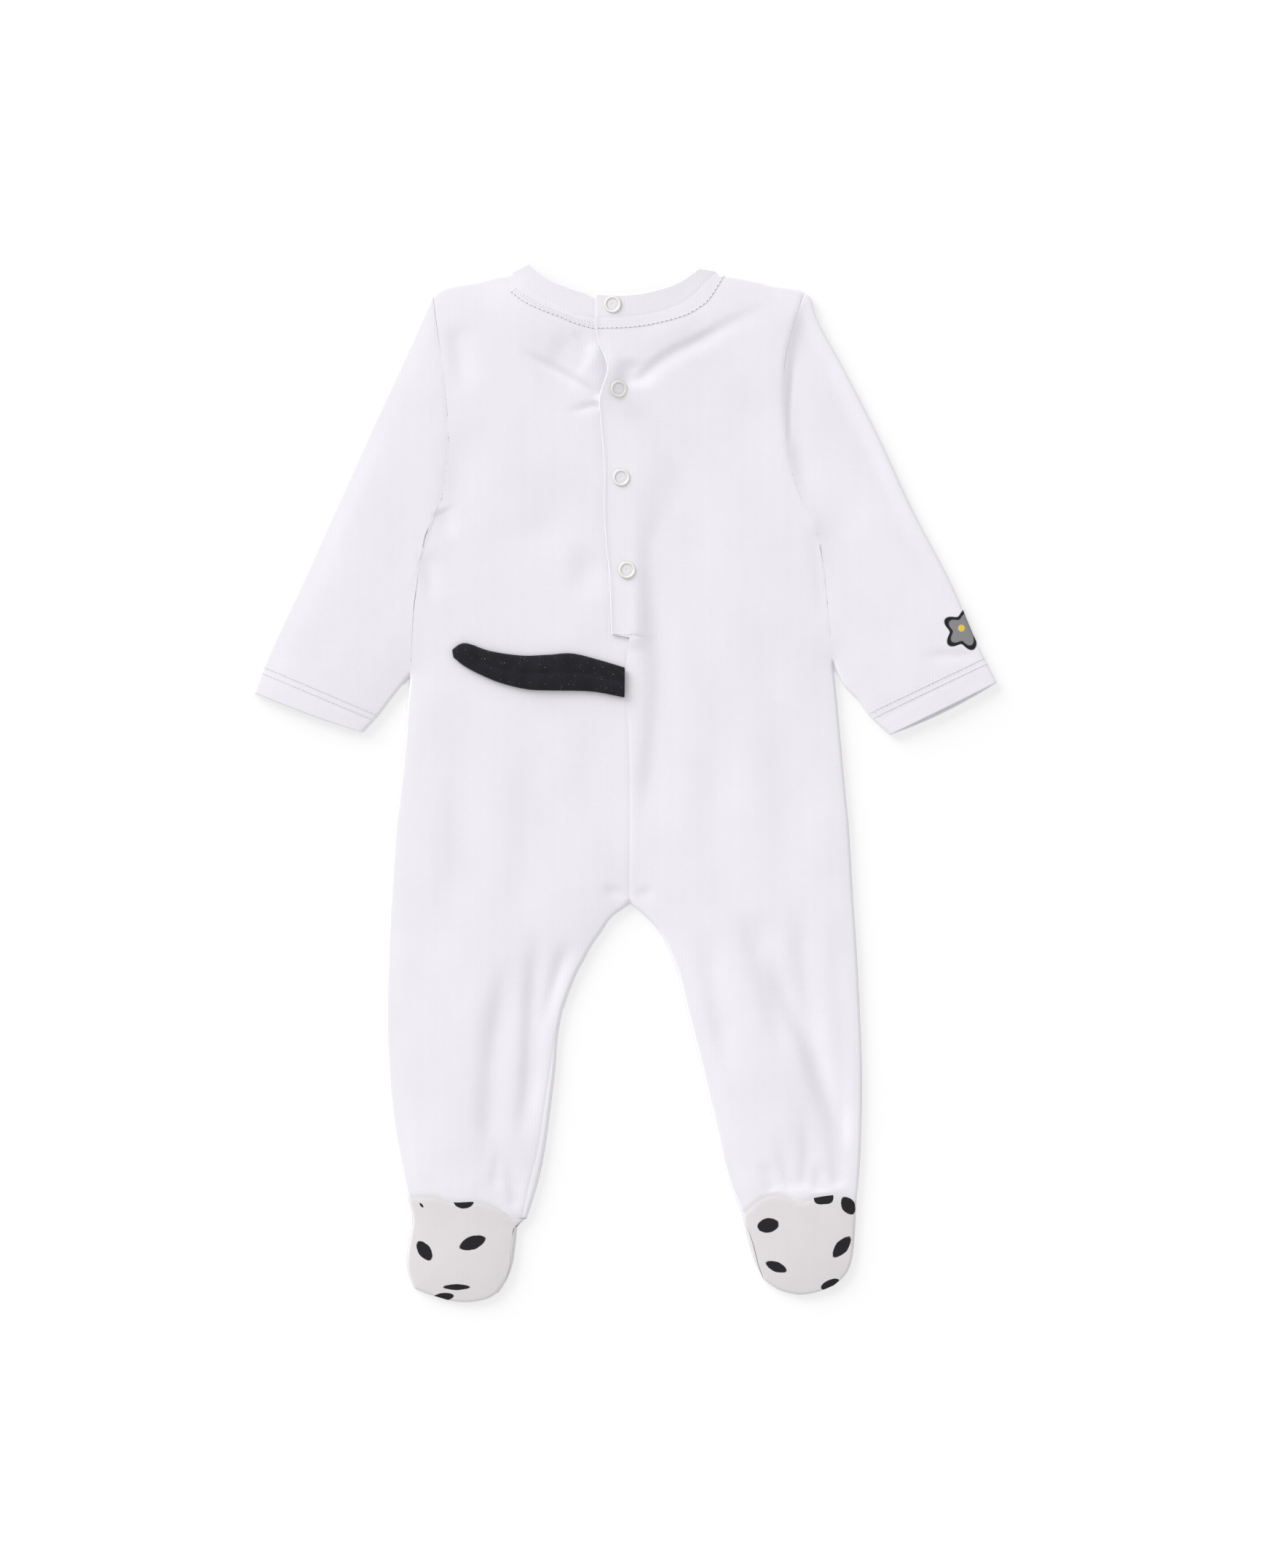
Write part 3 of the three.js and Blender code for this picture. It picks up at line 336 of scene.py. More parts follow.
COVER_ROWS = {
    "neck_cover_upper": [(-63.6, 285.4), (-50.4, 277), (-38.4, 271.8), (-28.6, 268.1), (-19, 265.9)],
    "neck_cover_lower": [(-64.6, 284.2), (-50.3, 275.4), (-38.4, 270.5), (-28.9, 266.8), (-18.7, 264.2)],
}
STITCH_ROWS = {
    "neck_left": [
        (-65.3, 283.1), (-59.4, 278.5), (-50.2, 273.8), (-38.4, 269.2), (-29.2, 265.4), (-18.4, 262.4),
    ],
    "neck_right": [
        (-15.3, 262.3), (2.3, 262.9), (17, 265), (33.8, 269.6), (44.3, 275.5), (49.4, 280.6), (56.1, 291.4),
    ],
    "cuff_left": [(-207.7, 66.8), (-175, 53), (-143.4, 39.5)],
    "cuff_left_lower": [(-208.9, 63.4), (-176.4, 49.8), (-146, 37)],
    "cuff_right": [(140.1, 40.3), (175, 57), (206.9, 72.2)],
    "cuff_right_lower": [(143, 37.8), (176.6, 54), (207.3, 68.5)],
    "opening_end": [(-7.2, 86.2), (1.6, 86)],
}


def smooth_step(start, end, value):
    share = np.clip((value - start) / (end - start), 0, 1)
    return share * share * (3 - 2 * share)


class Seam:
    """A smooth line through given points, read by its share of the length."""

    steps = 24

    def __init__(self, points):
        knots = np.array(points, float)
        last = len(knots) - 1
        start = np.arange(last)
        before, here = knots[np.maximum(start - 1, 0)][:, None], knots[start][:, None]
        ahead, beyond = knots[start + 1][:, None], knots[np.minimum(start + 2, last)][:, None]
        t = np.linspace(0, 1, self.steps, endpoint=False)[None, :, None]
        bow = 2 * here + (ahead - before) * t
        bow = bow + (2 * before - 5 * here + 4 * ahead - beyond) * t ** 2
        bow = bow + (3 * here - before - 3 * ahead + beyond) * t ** 3
        self.line = np.vstack([bow.reshape(-1, 2) / 2, knots[-1:]])
        self.along = np.concatenate([[0], np.cumsum(np.hypot(*np.diff(self.line, axis=0).T))])
        self.length = self.along[-1]

    def at(self, shares):
        wanted = np.clip(shares, 0, 1) * self.length
        return np.stack([np.interp(wanted, self.along, self.line[:, axis]) for axis in (0, 1)], 1)

    def direction(self, shares):
        near = 0.002
        way = self.at(np.asarray(shares) + near) - self.at(np.asarray(shares) - near)
        return way / np.maximum(np.hypot(way[:, 0], way[:, 1]), 1e-9)[:, None]


def segments(points, step):
    seam = Seam(points)
    dots = seam.at(np.linspace(0, 1, max(2, math.ceil(seam.length / step)) + 1))
    return np.hstack([dots[:-1], dots[1:]])


def nearest(lines, x, y):
    """Distance to the nearest segment, its signed side, the share along all segments, and how
    far the way from the line leads to the lower right, from -1 to 1."""
    distance, side, share, lean = np.empty((4, len(x)))
    step = lines[:, 2:] - lines[:, :2]
    size = (step ** 2).sum(1)
    block = 4000
    for first in range(0, len(x), block):
        part = slice(first, first + block)
        dx = x[part, None] - lines[None, :, 0]
        dy = y[part, None] - lines[None, :, 1]
        along = np.clip((dx * step[:, 0] + dy * step[:, 1]) / size, 0, 1)
        away = np.hypot(dx - along * step[:, 0], dy - along * step[:, 1])
        found = away.argmin(1)
        rows = np.arange(len(found))
        distance[part] = away[rows, found]
        side[part] = np.sign(dy[rows, found] * step[found, 0] - dx[rows, found] * step[found, 1])
        share[part] = (found + along[rows, found]) / len(lines)
        off_x = dx[rows, found] - along[rows, found] * step[found, 0]
        off_y = dy[rows, found] - along[rows, found] * step[found, 1]
        lean[part] = (off_x - off_y) / np.maximum(distance[part], 1e-6) * math.sqrt(0.5)
    return distance, side, share, lean


OUTLINE = np.vstack([segments(points, LINE_STEP) for points in (
    SHOULDER_LEFT, SHOULDER_RIGHT,
    SIDE_LEFT["waist"][1:], SIDE_LEFT["leg"], SIDE_RIGHT["waist"][1:], SIDE_RIGHT["leg"],
    INNER_LEG_LEFT, INNER_LEG_RIGHT,
    FOOT_LEFT["left"], FOOT_LEFT["toe"], FOOT_LEFT["right"],
    FOOT_RIGHT["left"], FOOT_RIGHT["toe"], FOOT_RIGHT["right"],
    SLEEVE_LEFT["outer"], SLEEVE_LEFT["inner"], SLEEVE_RIGHT["outer"], SLEEVE_RIGHT["inner"],
)])
SEAM_PINCHES = [
    (ARMHOLE_LEFT, 1.2, -0.04), (ARMHOLE_RIGHT, 1.2, -0.2), (CENTRE_SEAM, 1, -0.15),
    (SIDE_RIGHT["chest"], 1.2, -0.1),
    (HEEL_SEAM_LEFT, 1.4, -0.35), (HEEL_SEAM_RIGHT, 1.4, -0.35), (LOWER_LEG_SEAM_LEFT, 0.9, -0.15),
    (BAND_SEAM["left"], 0.9, -0.08), (BAND_SEAM["right"], 0.9, -0.08),
]
STITCH_PINCH = {"reach": 1.3, "rise": -0.06}

# The right sleeve lies lower than the body and the left one a little higher: the line, the fall,
# and how far the change takes to the right and to the left of the line
RIGHT_ARM_LINE = ARMHOLE_RIGHT + SIDE_RIGHT["chest"][1:]
SLEEVE_FALLS = [(RIGHT_ARM_LINE, 1.6, 4, 0), (RIGHT_ARM_LINE, 1.2, 22, 0), (ARMHOLE_LEFT, -0.3, 0, 3)]
SLEEVE_FADE = (70, 190)
SLEEVE_FADE_SHARE = 0.08


def fold_height(x, y):
    """How far folds, swells and seams move the upper cloth up or down."""
    height = np.zeros(len(x))
    for points, reach, rise, beside, fade_in, fade_out in FOLDS:
        distance, side, share, lean = nearest(segments(points, LINE_STEP), x, y)
        fade = smooth_step(0, fade_in, share) * smooth_step(0, fade_out, 1 - share)
        valley = np.exp(-(distance / (reach * (FOLD_SPREAD[0] + FOLD_SPREAD[1] * lean))) ** 2)
        across = distance * side + math.copysign(FOLD_SHOULDER["away"] * reach, beside)
        shoulder = np.exp(-(across / (FOLD_SHOULDER["reach"] * reach)) ** 2)
        height += rise * fade * (valley - FOLD_SHOULDER["share"] * abs(beside) * shoulder)
    for middle_x, middle_y, along, across, turn, rise in SWELLS:
        angle = math.radians(turn)
        u = (x - middle_x) * math.cos(angle) + (y - middle_y) * math.sin(angle)
        v = (y - middle_y) * math.cos(angle) - (x - middle_x) * math.sin(angle)
        height += rise * np.exp(-(u / along) ** 2 - (v / across) ** 2)
    for points, fall, reach_right, reach_left in SLEEVE_FALLS:
        distance, side, share, _lean = nearest(segments(points, LINE_STEP), x, y)
        fade = smooth_step(*SLEEVE_FADE, y) * smooth_step(0, SLEEVE_FADE_SHARE, share)
        reach = np.where(side > 0, reach_right, reach_left)
        height -= fall * fade * np.where(reach > 0, 1 - np.exp(-distance / np.maximum(reach, 0.1)), 0)
    return height


def ripple_height(x, y):
    dice = np.random.RandomState(11)
    height = np.zeros(len(x))
    for _ripple in range(RIPPLES):
        across, along = dice.uniform(*RIPPLE_ACROSS), dice.uniform(*RIPPLE_ALONG)
        lean, phase, drift = dice.uniform(-0.25, 0.25), dice.uniform(0, 6.3), dice.uniform(0, 6.3)
        wave = np.sin(2 * math.pi * (x + lean * y) / across + phase)
        height += wave * np.sin(2 * math.pi * y / along + drift)
    return height * RIPPLE_HEIGHT / math.sqrt(RIPPLES / 8)


def pinch_height(x, y):
    height = np.zeros(len(x))
    for points, reach, rise in SEAM_PINCHES:
        distance, *_rest = nearest(segments(points, LINE_STEP), x, y)
        height += rise * np.exp(-(distance / reach) ** 2)
    for points in STITCH_ROWS.values():
        distance, *_rest = nearest(segments(points, STITCH_STEP), x, y)
        height += STITCH_PINCH["rise"] * np.exp(-(distance / STITCH_PINCH["reach"]) ** 2)
    return height


def wall():
    return bpy.context.scene.romper_sizes.wall / MM


def upper_rest():
    return wall() + LAY_GAP


def upper_height(x, y):
    """Middle of the upper cloth, from its bend at the outline to its loft inside."""
    sizes = bpy.context.scene.romper_sizes
    inside, *_rest = nearest(OUTLINE, x, y)
    inside = np.maximum(inside - EDGE_INSET, 0)
    bend = np.minimum(inside, EDGE_BEND)
    turned = np.sqrt(EDGE_BEND ** 2 - (EDGE_BEND - bend) ** 2)
    loft = sizes.loft / MM * (1 - np.exp(-inside / LOFT_REACH))
    settled = smooth_step(EDGE_BEND * SETTLED[0], EDGE_BEND * SETTLED[1], inside)
    folds = (fold_height(x, y) + ripple_height(x, y)) * settled * sizes.fold_depth
    folds = folds + pinch_height(x, y)
    return np.maximum(upper_rest() + turned + loft + folds, upper_rest())


def opening_share(y):
    return smooth_step(OPENING_END - OPENING_FADE, OPENING_END, y)


def gape(x, y, middle_x, middle_y, reach_x, reach_y):
    return np.exp(-((x - middle_x) / reach_x) ** 2 - ((y - middle_y) / reach_y) ** 2)


OVERLAP_LINES = np.vstack([segments(OVERLAP_EDGE[name], LINE_STEP) for name in ("yoke", "chest")])


def right_back_height(x, y):
    """The right back lies over the left back, with a thicker folded edge."""
    fade_end = OVERLAP_FADE[0] + OVERLAP_FADE[1] * smooth_step(*OVERLAP_FADE_RISE, y)
    across = 1 - smooth_step(OVERLAP_FLAT, fade_end, x)
    distance, *_rest = nearest(OVERLAP_LINES, x, y)
    folded = FOLDED_EDGE["rise"] * np.exp(-(distance / FOLDED_EDGE["reach"]) ** 2)
    lifted = GAPE_OVER[0] * gape(x, y, *GAPE_OVER[1])
    return upper_height(x, y) + (OVERLAP_LIFT * across + folded + lifted) * opening_share(y)


def left_back_height(x, y):
    distance, side, *_rest = nearest(OVERLAP_LINES, x, y)
    dip = OVERLAP_DIP * smooth_step(-4, -0.3, distance * side) + GAPE_UNDER[0] * gape(x, y, *GAPE_UNDER[1])
    return np.maximum(upper_height(x, y) - dip * opening_share(y), upper_rest())


# Four-sided patches between boundary lines, each part being points, inset and end share; where a
# part has two insets, the first holds until the sleeve leaves the body and the second after it
SPLIT_SHARES = (0.08, 0.17)
LEAN_FADE = 7


def boundary(parts, shares, side, inset_scale=1):
    shares = np.asarray(shares, float)
    ends = np.array([end for _points, _inset, end in parts])
    found = np.minimum((shares[:, None] >= ends - 1e-9).sum(1), len(parts) - 1)
    line = np.zeros((len(shares), 2))
    start = 0
    for index, (points, inset, end) in enumerate(parts):
        here = found == index
        local = np.clip((shares[here] - start) / (end - start), 0, 1)
        seam = Seam(points)
        way = seam.direction(local)
        if isinstance(inset, tuple):
            inset = inset[0] + (inset[1] - inset[0]) * smooth_step(*SPLIT_SHARES, local)[:, None]
        offset = inset * inset_scale * side
        line[here] = seam.at(local) + np.stack([-way[:, 1], way[:, 0]], 1) * offset
        start = end
    return line


def patch(top, bottom, left, right, across, down, settle=1, left_base=None):
    """Where left_base is given, what the left edge adds to it fades out close to that edge."""
    top_edge, bottom_edge = boundary(top, across, -1), boundary(bottom, across, 1)
    left_edge, right_edge = boundary(left, down, 1), boundary(right, down, -1)
    ends = np.array([0, 1])
    top_ends, bottom_ends = boundary(top, ends, -1, 0), boundary(bottom, ends, 1, 0)
    u = np.asarray(across)[None, :, None]
    v = np.asarray(down)[:, None, None]
    base = left_edge if left_base is None else boundary(left_base, down, 1)
    straight = base[:, None] * (1 - u) + right_edge[:, None] * u
    straight = straight + (left_edge - base)[:, None] * (1 - u) ** LEAN_FADE
    top_bow = top_edge[None] - (top_ends[0] * (1 - u) + top_ends[1] * u)
    bottom_bow = bottom_edge[None] - (bottom_ends[0] * (1 - u) + bottom_ends[1] * u)
    return straight + top_bow * (1 - v) ** settle + bottom_bow * v ** settle


def graded(length, cell, fixed=()):
    """Shares along an edge of that length, closer together near its ends."""
    fine = np.array(FINE_STEPS) / length
    count = max(2, round((length - 2 * FINE_STEPS[-1]) / cell))
    middle = np.linspace(fine[-1], 1 - fine[-1], count + 1)
    shares = np.concatenate([fine[:-1], middle, 1 - fine[-2::-1]])
    for share in fixed:
        shares = shares[np.abs(shares - share) > CROWDED * cell / length]
        shares = np.append(shares, share)
    return np.unique(np.round(shares, 9))


def raised(plan, height):
    flat = plan.reshape(-1, 2)
    return np.dstack([plan, height(flat[:, 0], flat[:, 1]).reshape(plan.shape[:2])])


# Cloth with a wall, whose cut edges are rounded


def grid_normals(grid, ringed):
    shape = grid if not ringed else np.concatenate([grid, grid[:, :1]], 1)
    along = shape[1:, 1:] - shape[:-1, :-1]
    across = shape[:-1, 1:] - shape[1:, :-1]
    face = np.cross(along, across)
    face = face / np.maximum(np.linalg.norm(face, axis=2)[:, :, None], 1e-9)
    normals = np.zeros(shape.shape)
    halves = (slice(0, -1), slice(1, None))
    for rows in halves:
        for columns in halves:
            normals[rows, columns] += face
    if ringed:
        normals[:, 0] += normals[:, -1]
        normals = normals[:, :-1]
    return normals / np.maximum(np.linalg.norm(normals, axis=2)[:, :, None], 1e-9)


def way_along(grid):
    along = np.zeros(grid.shape[:2])
    along[1:] = np.cumsum(np.linalg.norm(np.diff(grid, axis=0), axis=2), axis=0)
    return along


def rounded(distance, radius):
    """A sewn edge has no radius: its upper side runs on to the seam."""
    near = np.clip(distance / np.maximum(radius, 1e-6), 0, 1)
    return np.where(np.asarray(radius) > 0, np.sqrt(1 - (1 - near) ** 2), 1)


def quads(index):
    corners = [index[:-1, :-1], index[1:, :-1], index[1:, 1:], index[:-1, 1:]]
    return np.stack(corners, 2).reshape(-1, 4)


def sheet_parts(grid, lowest, top=SEWN_EDGE, bottom=SEWN_EDGE, left=SEWN_EDGE, right=SEWN_EDGE):
    """Points and faces of a sheet with a wall, whose edges are rounded by these radii."""
    down, over = way_along(grid), way_along(grid.swapaxes(0, 1)).T
    share = np.minimum.reduce([
        rounded(down, top), rounded(down[-1] - down, bottom), rounded(over, left),
        rounded(over[:, -1:] - over, right),
    ])
    upward = np.sign(grid_normals(grid, False)[:, :, 2].sum())
    offset = share[:, :, None] * wall() / 2 * upward * np.array([0, 0, 1])
    outer, inner = grid + offset, grid - offset
    rows, columns = grid.shape[:2]
    top = np.arange(rows * columns).reshape(rows, columns)
    below = top.copy()
    below[1:-1, 1:-1] = rows * columns + np.arange((rows - 2) * (columns - 2)).reshape(rows - 2, -1)
    points = np.vstack([outer.reshape(-1, 3), inner[1:-1, 1:-1].reshape(-1, 3)])
    points[:, 2] = np.maximum(points[:, 2], lowest)
    return points, np.vstack([quads(top), quads(below)[:, ::-1]])


def tube_parts(grid, half):
    """Points and faces of a flattened tube with a wall; each row runs once round it."""
    down = way_along(grid)
    share = np.minimum(rounded(down, SEWN_EDGE), rounded(down[-1] - down, FREE_EDGE))
    offset = share[:, :, None] * half * grid_normals(grid, True)
    rows, columns = grid.shape[:2]
    outer = np.arange(rows * columns).reshape(rows, columns)
    inner = outer.copy()
    inner[1:-1] = rows * columns + np.arange((rows - 2) * columns).reshape(rows - 2, columns)
    points = np.vstack([(grid + offset).reshape(-1, 3), (grid - offset)[1:-1].reshape(-1, 3)])
    points[:, 2] = np.maximum(points[:, 2], 0)
    closed = [np.concatenate([index, index[:, :1]], 1) for index in (outer, inner)]
    return points, np.vstack([quads(closed[0]), quads(closed[1])[:, ::-1]])


def joined(*parts):
    points, faces, count = [], [], 0
    for part_points, part_faces in parts:
        points.append(part_points)
        faces.append(part_faces + count)
        count += len(part_points)
    return np.vstack(points), np.vstack(faces)


def to_object(name, parts, material):
    points, faces = parts
    mesh = bpy.data.meshes.new(name)
    mesh.from_pydata((points * MM).tolist(), [], faces.tolist())
    mesh.validate()
    mesh.polygons.foreach_set("use_smooth", np.ones(len(mesh.polygons), bool))
    mesh.set_sharp_from_angle(angle=SHARP_ANGLE)
    mesh.update()
    made = bpy.data.objects.new(name, mesh)
    bpy.context.scene.collection.objects.link(made)
    mesh.materials.append(material)
    return made


def place(piece, nodes=()):
    if nodes:
        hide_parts(*nodes)
    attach(piece, "root")
    return piece


# Shader maths as Python expressions


class Wire:
    """A shader value that can be used in a Python expression."""

    def __init__(self, finish, socket):
        self.finish = finish
        self.socket = socket

    def maths(self, operation, *values):
        return self.finish.node("ShaderNodeMath", {"operation": operation}, dict(enumerate(values)))

    def __add__(self, other):
        return self.maths("ADD", self, other)

    def __radd__(self, other):
        return self.maths("ADD", other, self)

    def __sub__(self, other):
        return self.maths("SUBTRACT", self, other)

    def __rsub__(self, other):
        return self.maths("SUBTRACT", other, self)

    def __mul__(self, other):
        return self.maths("MULTIPLY", self, other)

    def __rmul__(self, other):
        return self.maths("MULTIPLY", other, self)

    def __truediv__(self, other):
        return self.maths("DIVIDE", self, other)

    def __pow__(self, other):
        return self.maths("POWER", self, other)

    def __abs__(self):
        return self.maths("ABSOLUTE", self)

    def sine(self):
        return self.maths("SINE", self)

    def least(self, other):
        return self.maths("MINIMUM", self, other)

    def between(self, low, high):
        """From 0 at low to 1 at high."""
        return self.finish.node("ShaderNodeMapRange", {}, {0: self, 1: low, 2: high, 3: 0.0, 4: 1.0})


class Finish:
    """A procedural material that is being built."""

    def __init__(self, name, roughness=0.9, **constants):
        self.material = bpy.data.materials.new(name)
        self.material.use_nodes = True
        self.nodes = self.material.node_tree.nodes
        self.links = self.material.node_tree.links
        self.surface = self.nodes["Principled BSDF"]
        self.surface.inputs["Roughness"].default_value = roughness
        for socket, value in constants.items():
            self.surface.inputs[socket.replace("_", " ")].default_value = value

    def node(self, kind, settings, sockets, output=0):
        made = self.nodes.new(kind)
        for name, value in settings.items():
            setattr(made, name, value)
        for name, value in sockets.items():
            self.feed(made.inputs[name], value)
        return Wire(self, made.outputs[output])

    def feed(self, socket, value):
        if isinstance(value, Wire):
            self.links.new(value.socket, socket)
        else:
            socket.default_value = value

    def position(self):
        return self.node("ShaderNodeTexCoord", {}, {}, "Object")

    def place(self):
        """Object coordinates in millimetres, as three wires."""
        parts = self.node("ShaderNodeSeparateXYZ", {}, {0: self.position()}).socket.node
        return [Wire(self, parts.outputs[axis]) * (1 / MM) for axis in range(3)]

    def noise(self, size, detail=3.0, roughness=0.5):
        """Noise whose lumps are about that many millimetres wide."""
        return self.node("ShaderNodeTexNoise", {}, {
            "Vector": self.position(), "Scale": 1 / (size * MM), "Detail": detail, "Roughness": roughness,
        })

    def blend(self, share, first, second):
        return self.node("ShaderNodeMix", {"data_type": "RGBA"}, {0: share, 6: first, 7: second}, 2)

    def bump(self, height, distance, strength=1.0):
        return self.node(
            "ShaderNodeBump", {}, {"Strength": strength, "Distance": distance, "Height": height})

    def set(self, **values):
        for socket, value in values.items():
            self.feed(self.surface.inputs[socket.replace("_", " ")], value)
        return self.material


def linear(colour, scale=1.0):
    return tuple(min(channel * scale, 1.0) for channel in colour[:3]) + (1.0,)


def knit_height(finish, wale, course):
    """Relief of plain jersey: upright ribs crossed by small slanting loops."""
    x, y, _z = finish.place()
    turn = 2 * math.pi
    rib = (x * (turn / wale)).sine()
    slant = abs((x * (0.5 * turn / wale)).sine()) * 1.6
    loop = (y * (turn / course) + slant).sine()
    return rib * 0.5 + loop * 0.35 + finish.noise(0.5) * 1.2


def jersey(name, colour, paint=None):
    """Plain cotton jersey; paint may lay a print over its colour."""
    finish = Finish(name, roughness=0.92, Sheen_Weight=0.04, Sheen_Roughness=0.6, Specular_IOR_Level=0.2)
    sizes = bpy.context.scene.romper_sizes
    cloud = finish.noise(38, 4.0, 0.55).between(0.3, 0.7)
    fleck = finish.noise(0.9, 2.0).between(0.35, 0.7)
    tone = finish.blend(cloud, linear(colour, 0.972), linear(colour, 1.012))
    tone = finish.blend(fleck * 0.35, tone, linear(colour, 0.955))
    if paint:
        tone = paint(finish, tone)
    relief = knit_height(finish, sizes.wale / MM, sizes.course / MM)
    return finish.set(Base_Color=tone, Normal=finish.bump(relief, 0.00012, 0.55))


def shape_measure(finish, middle, size, turn, power, fuzz):
    """Below 1 inside a spot: an oval at power 2, a leaf with two points at power 1."""
    x, y, _z = finish.place()
    angle = math.radians(turn)
    across, down = x - middle[0], y - middle[1]
    u = across * math.cos(angle) + down * math.sin(angle)
    v = down * math.cos(angle) - across * math.sin(angle)
    return abs(u / (size[0] / 2)) ** power + abs(v / (size[1] / 2)) ** 2.0 + fuzz


SPOTS_LEFT = [
    ((-117.4, -243.4), (3.4, 1.4), -50, 1.6), ((-93, -241.4), (11.5, 7.6), 0, 2),
    ((-115.7, -269.6), (13, 7.5), -55, 1.5), ((-88, -265), (16, 8), 20, 1.4),
    ((-97.2, -290.6), (16, 3.6), 0, 1.3), ((-105.2, -296.5), (13, 5), 8, 1.6),
]
SPOTS_RIGHT = [
    ((114.5, -239), (11.5, 7.6), 3, 4), ((128.7, -243.6), (11.5, 8), -60, 1.4),
    ((82.5, -255), (12.5, 8.5), 10, 1.8), ((125, -267.5), (15, 7.5), 50, 1.3),
    ((87.2, -278.9), (13, 6), -22, 1.3), ((118.2, -289), (11.5, 5), 25, 2),
]


def with_spots(spots, ink):
    def paint(finish, tone):
        fuzz = (finish.noise(1.4, 3.0) - 0.5) * 0.25
        nearest_spot = None
        for middle, size, turn, power in spots:
            measure = shape_measure(finish, middle, size, turn, power, fuzz)
            nearest_spot = measure if nearest_spot is None else nearest_spot.least(measure)
        share = 1 - nearest_spot.between(0.93, 1.05)
        return finish.blend(share, tone, linear(ink))
    return paint


STAR = {"at": (195.5, 88.5), "radius": 10.5, "dot": (-1.5, 1)}
INK = (0.014, 0.013, 0.016, 1)
STAR_GREY = (0.24, 0.24, 0.25, 1)
STAR_YELLOW = (0.8, 0.55, 0.06, 1)


def with_star(finish, tone):
    """A plain outlined star near the right cuff."""
    x, y, _z = finish.place()
    u, v = x - STAR["at"][0], y - STAR["at"][1]
    around = u.maths("ARCTAN2", v, u)
    edge = STAR["radius"] * (1 + 0.2 * (around * 5 + 0.9).sine())
    reach = (u * u + v * v) ** 0.5 / edge
    inside = 1 - reach.between(0.98, 1.04)
    fill = 1 - reach.between(0.74, 0.8)
    dot = 1 - ((u - STAR["dot"][0]) ** 2.0 + (v - STAR["dot"][1]) ** 2.0).between(3.2, 4.4)
    tone = finish.blend(inside, tone, INK)
    tone = finish.blend(fill, tone, STAR_GREY)
    return finish.blend(dot, tone, STAR_YELLOW)


def black_jersey(name, colour):
    finish = Finish(name, roughness=0.95, Sheen_Weight=0.25, Sheen_Roughness=0.5, Specular_IOR_Level=0.2)
    cloud = finish.noise(9, 3.0).between(0.3, 0.75)
    tone = finish.blend(cloud, linear(colour, 0.8), linear(colour, 1.7))
    lint = finish.noise(0.8, 1.0).between(0.735, 0.79)
    tone = finish.blend(lint, tone, (0.32, 0.31, 0.36, 1))
    relief = knit_height(finish, 0.7, 0.6)
    return finish.set(Base_Color=tone, Normal=finish.bump(relief, 0.00015, 0.6))


def enamel(name, colour, cloth):
    """A cream ring with the cloth inside it and painted shade at its rims; the mesh carries its own radius.
    """
    finish = Finish(name, roughness=0.35, Coat_Weight=0.2, Coat_Roughness=0.2)
    wear = finish.noise(1.6, 3.0).between(0.35, 0.7)
    tone = finish.blend(wear, linear(colour), linear(colour, 0.94))
    radius = finish.node("ShaderNodeAttribute", {"attribute_name": "radius"}, {}, "Fac")
    tone = finish.blend(radius.between(3.35, 3.2), tone, linear(cloth, 0.93))
    # Painted shade: a thin dark line at the ring's outer rim and at its inner edge
    painted_rim_shade = radius.between(4.6, 4.95) + radius.between(3.0, 3.2) * radius.between(3.6, 3.35)
    tone = finish.blend(painted_rim_shade * 0.5, tone, linear(colour, 0.4))
    return finish.set(Base_Color=tone, Normal=finish.bump(finish.noise(0.8), 0.00004, 0.3))


def thread(name, colour):
    finish = Finish(name, roughness=0.7, Sheen_Weight=0.2)
    x, y, _z = finish.place()
    twist = ((x + y) * (2 * math.pi / 0.35)).sine()
    tone = finish.blend(twist.between(-1, 1), linear(colour, 0.93), linear(colour))
    return finish.set(Base_Color=tone, Normal=finish.bump(twist, 0.00005, 0.5))


# Material of small dark dots that are painted shade in the needle holes between stitches
def painted_hole_shade(name, colour):
    finish = Finish(name, roughness=0.95)
    tone = finish.blend(finish.noise(1), linear(colour, 0.85), linear(colour, 1.1))
    return finish.set(Base_Color=tone)


MATERIALS = {}


def material(name):
    """Makes a finish once and keeps it for every piece that has it."""
    if name not in MATERIALS:
        colours = bpy.context.scene.romper_colours
        makers = {
            "white_jersey": lambda: jersey("white_jersey", colours.white_jersey),
            "printed_jersey": lambda: jersey("printed_jersey", colours.white_jersey, with_star),
            "left_sole_jersey": lambda: jersey(
                "left_sole_jersey", colours.sole_jersey, with_spots(SPOTS_LEFT, colours.spots)),
            "right_sole_jersey": lambda: jersey(
                "right_sole_jersey", colours.sole_jersey, with_spots(SPOTS_RIGHT, colours.spots)),
            "foot_jersey": lambda: jersey("foot_jersey", colours.foot_jersey),
            "black_jersey": lambda: black_jersey("black_jersey", colours.black_jersey),
            "snap_enamel": lambda: enamel("snap_enamel", colours.snaps, colours.white_jersey),
            "sewing_thread": lambda: thread("sewing_thread", colours.thread),
            # Painted shade of the needle holes: dark at the neck, faint elsewhere
            "needle_hole_shade": lambda: painted_hole_shade("needle_hole_shade", (0.3, 0.29, 0.31)),
            "soft_needle_hole_shade": lambda: painted_hole_shade("soft_needle_hole_shade", (0.79, 0.775, 0.82)),
        }
        MATERIALS[name] = makers[name]()
    return MATERIALS[name]


# Shares of the body panels from the neck to the ankle

STRETCH_ENDS = {"yoke": 0.23, "chest": 0.38, "cut": 0.381, "waist": 0.67, "leg": 1}
SHOULDER_SHARE = 0.38
UNDERLAP_SHARE = 0.83
BODY_LENGTH = 545
BODY_WIDTH = 140
JOIN = 1e-6


def body_down(cell):
    return graded(BODY_LENGTH, cell, [STRETCH_ENDS[name] for name in ("yoke", "chest", "cut", "waist")])


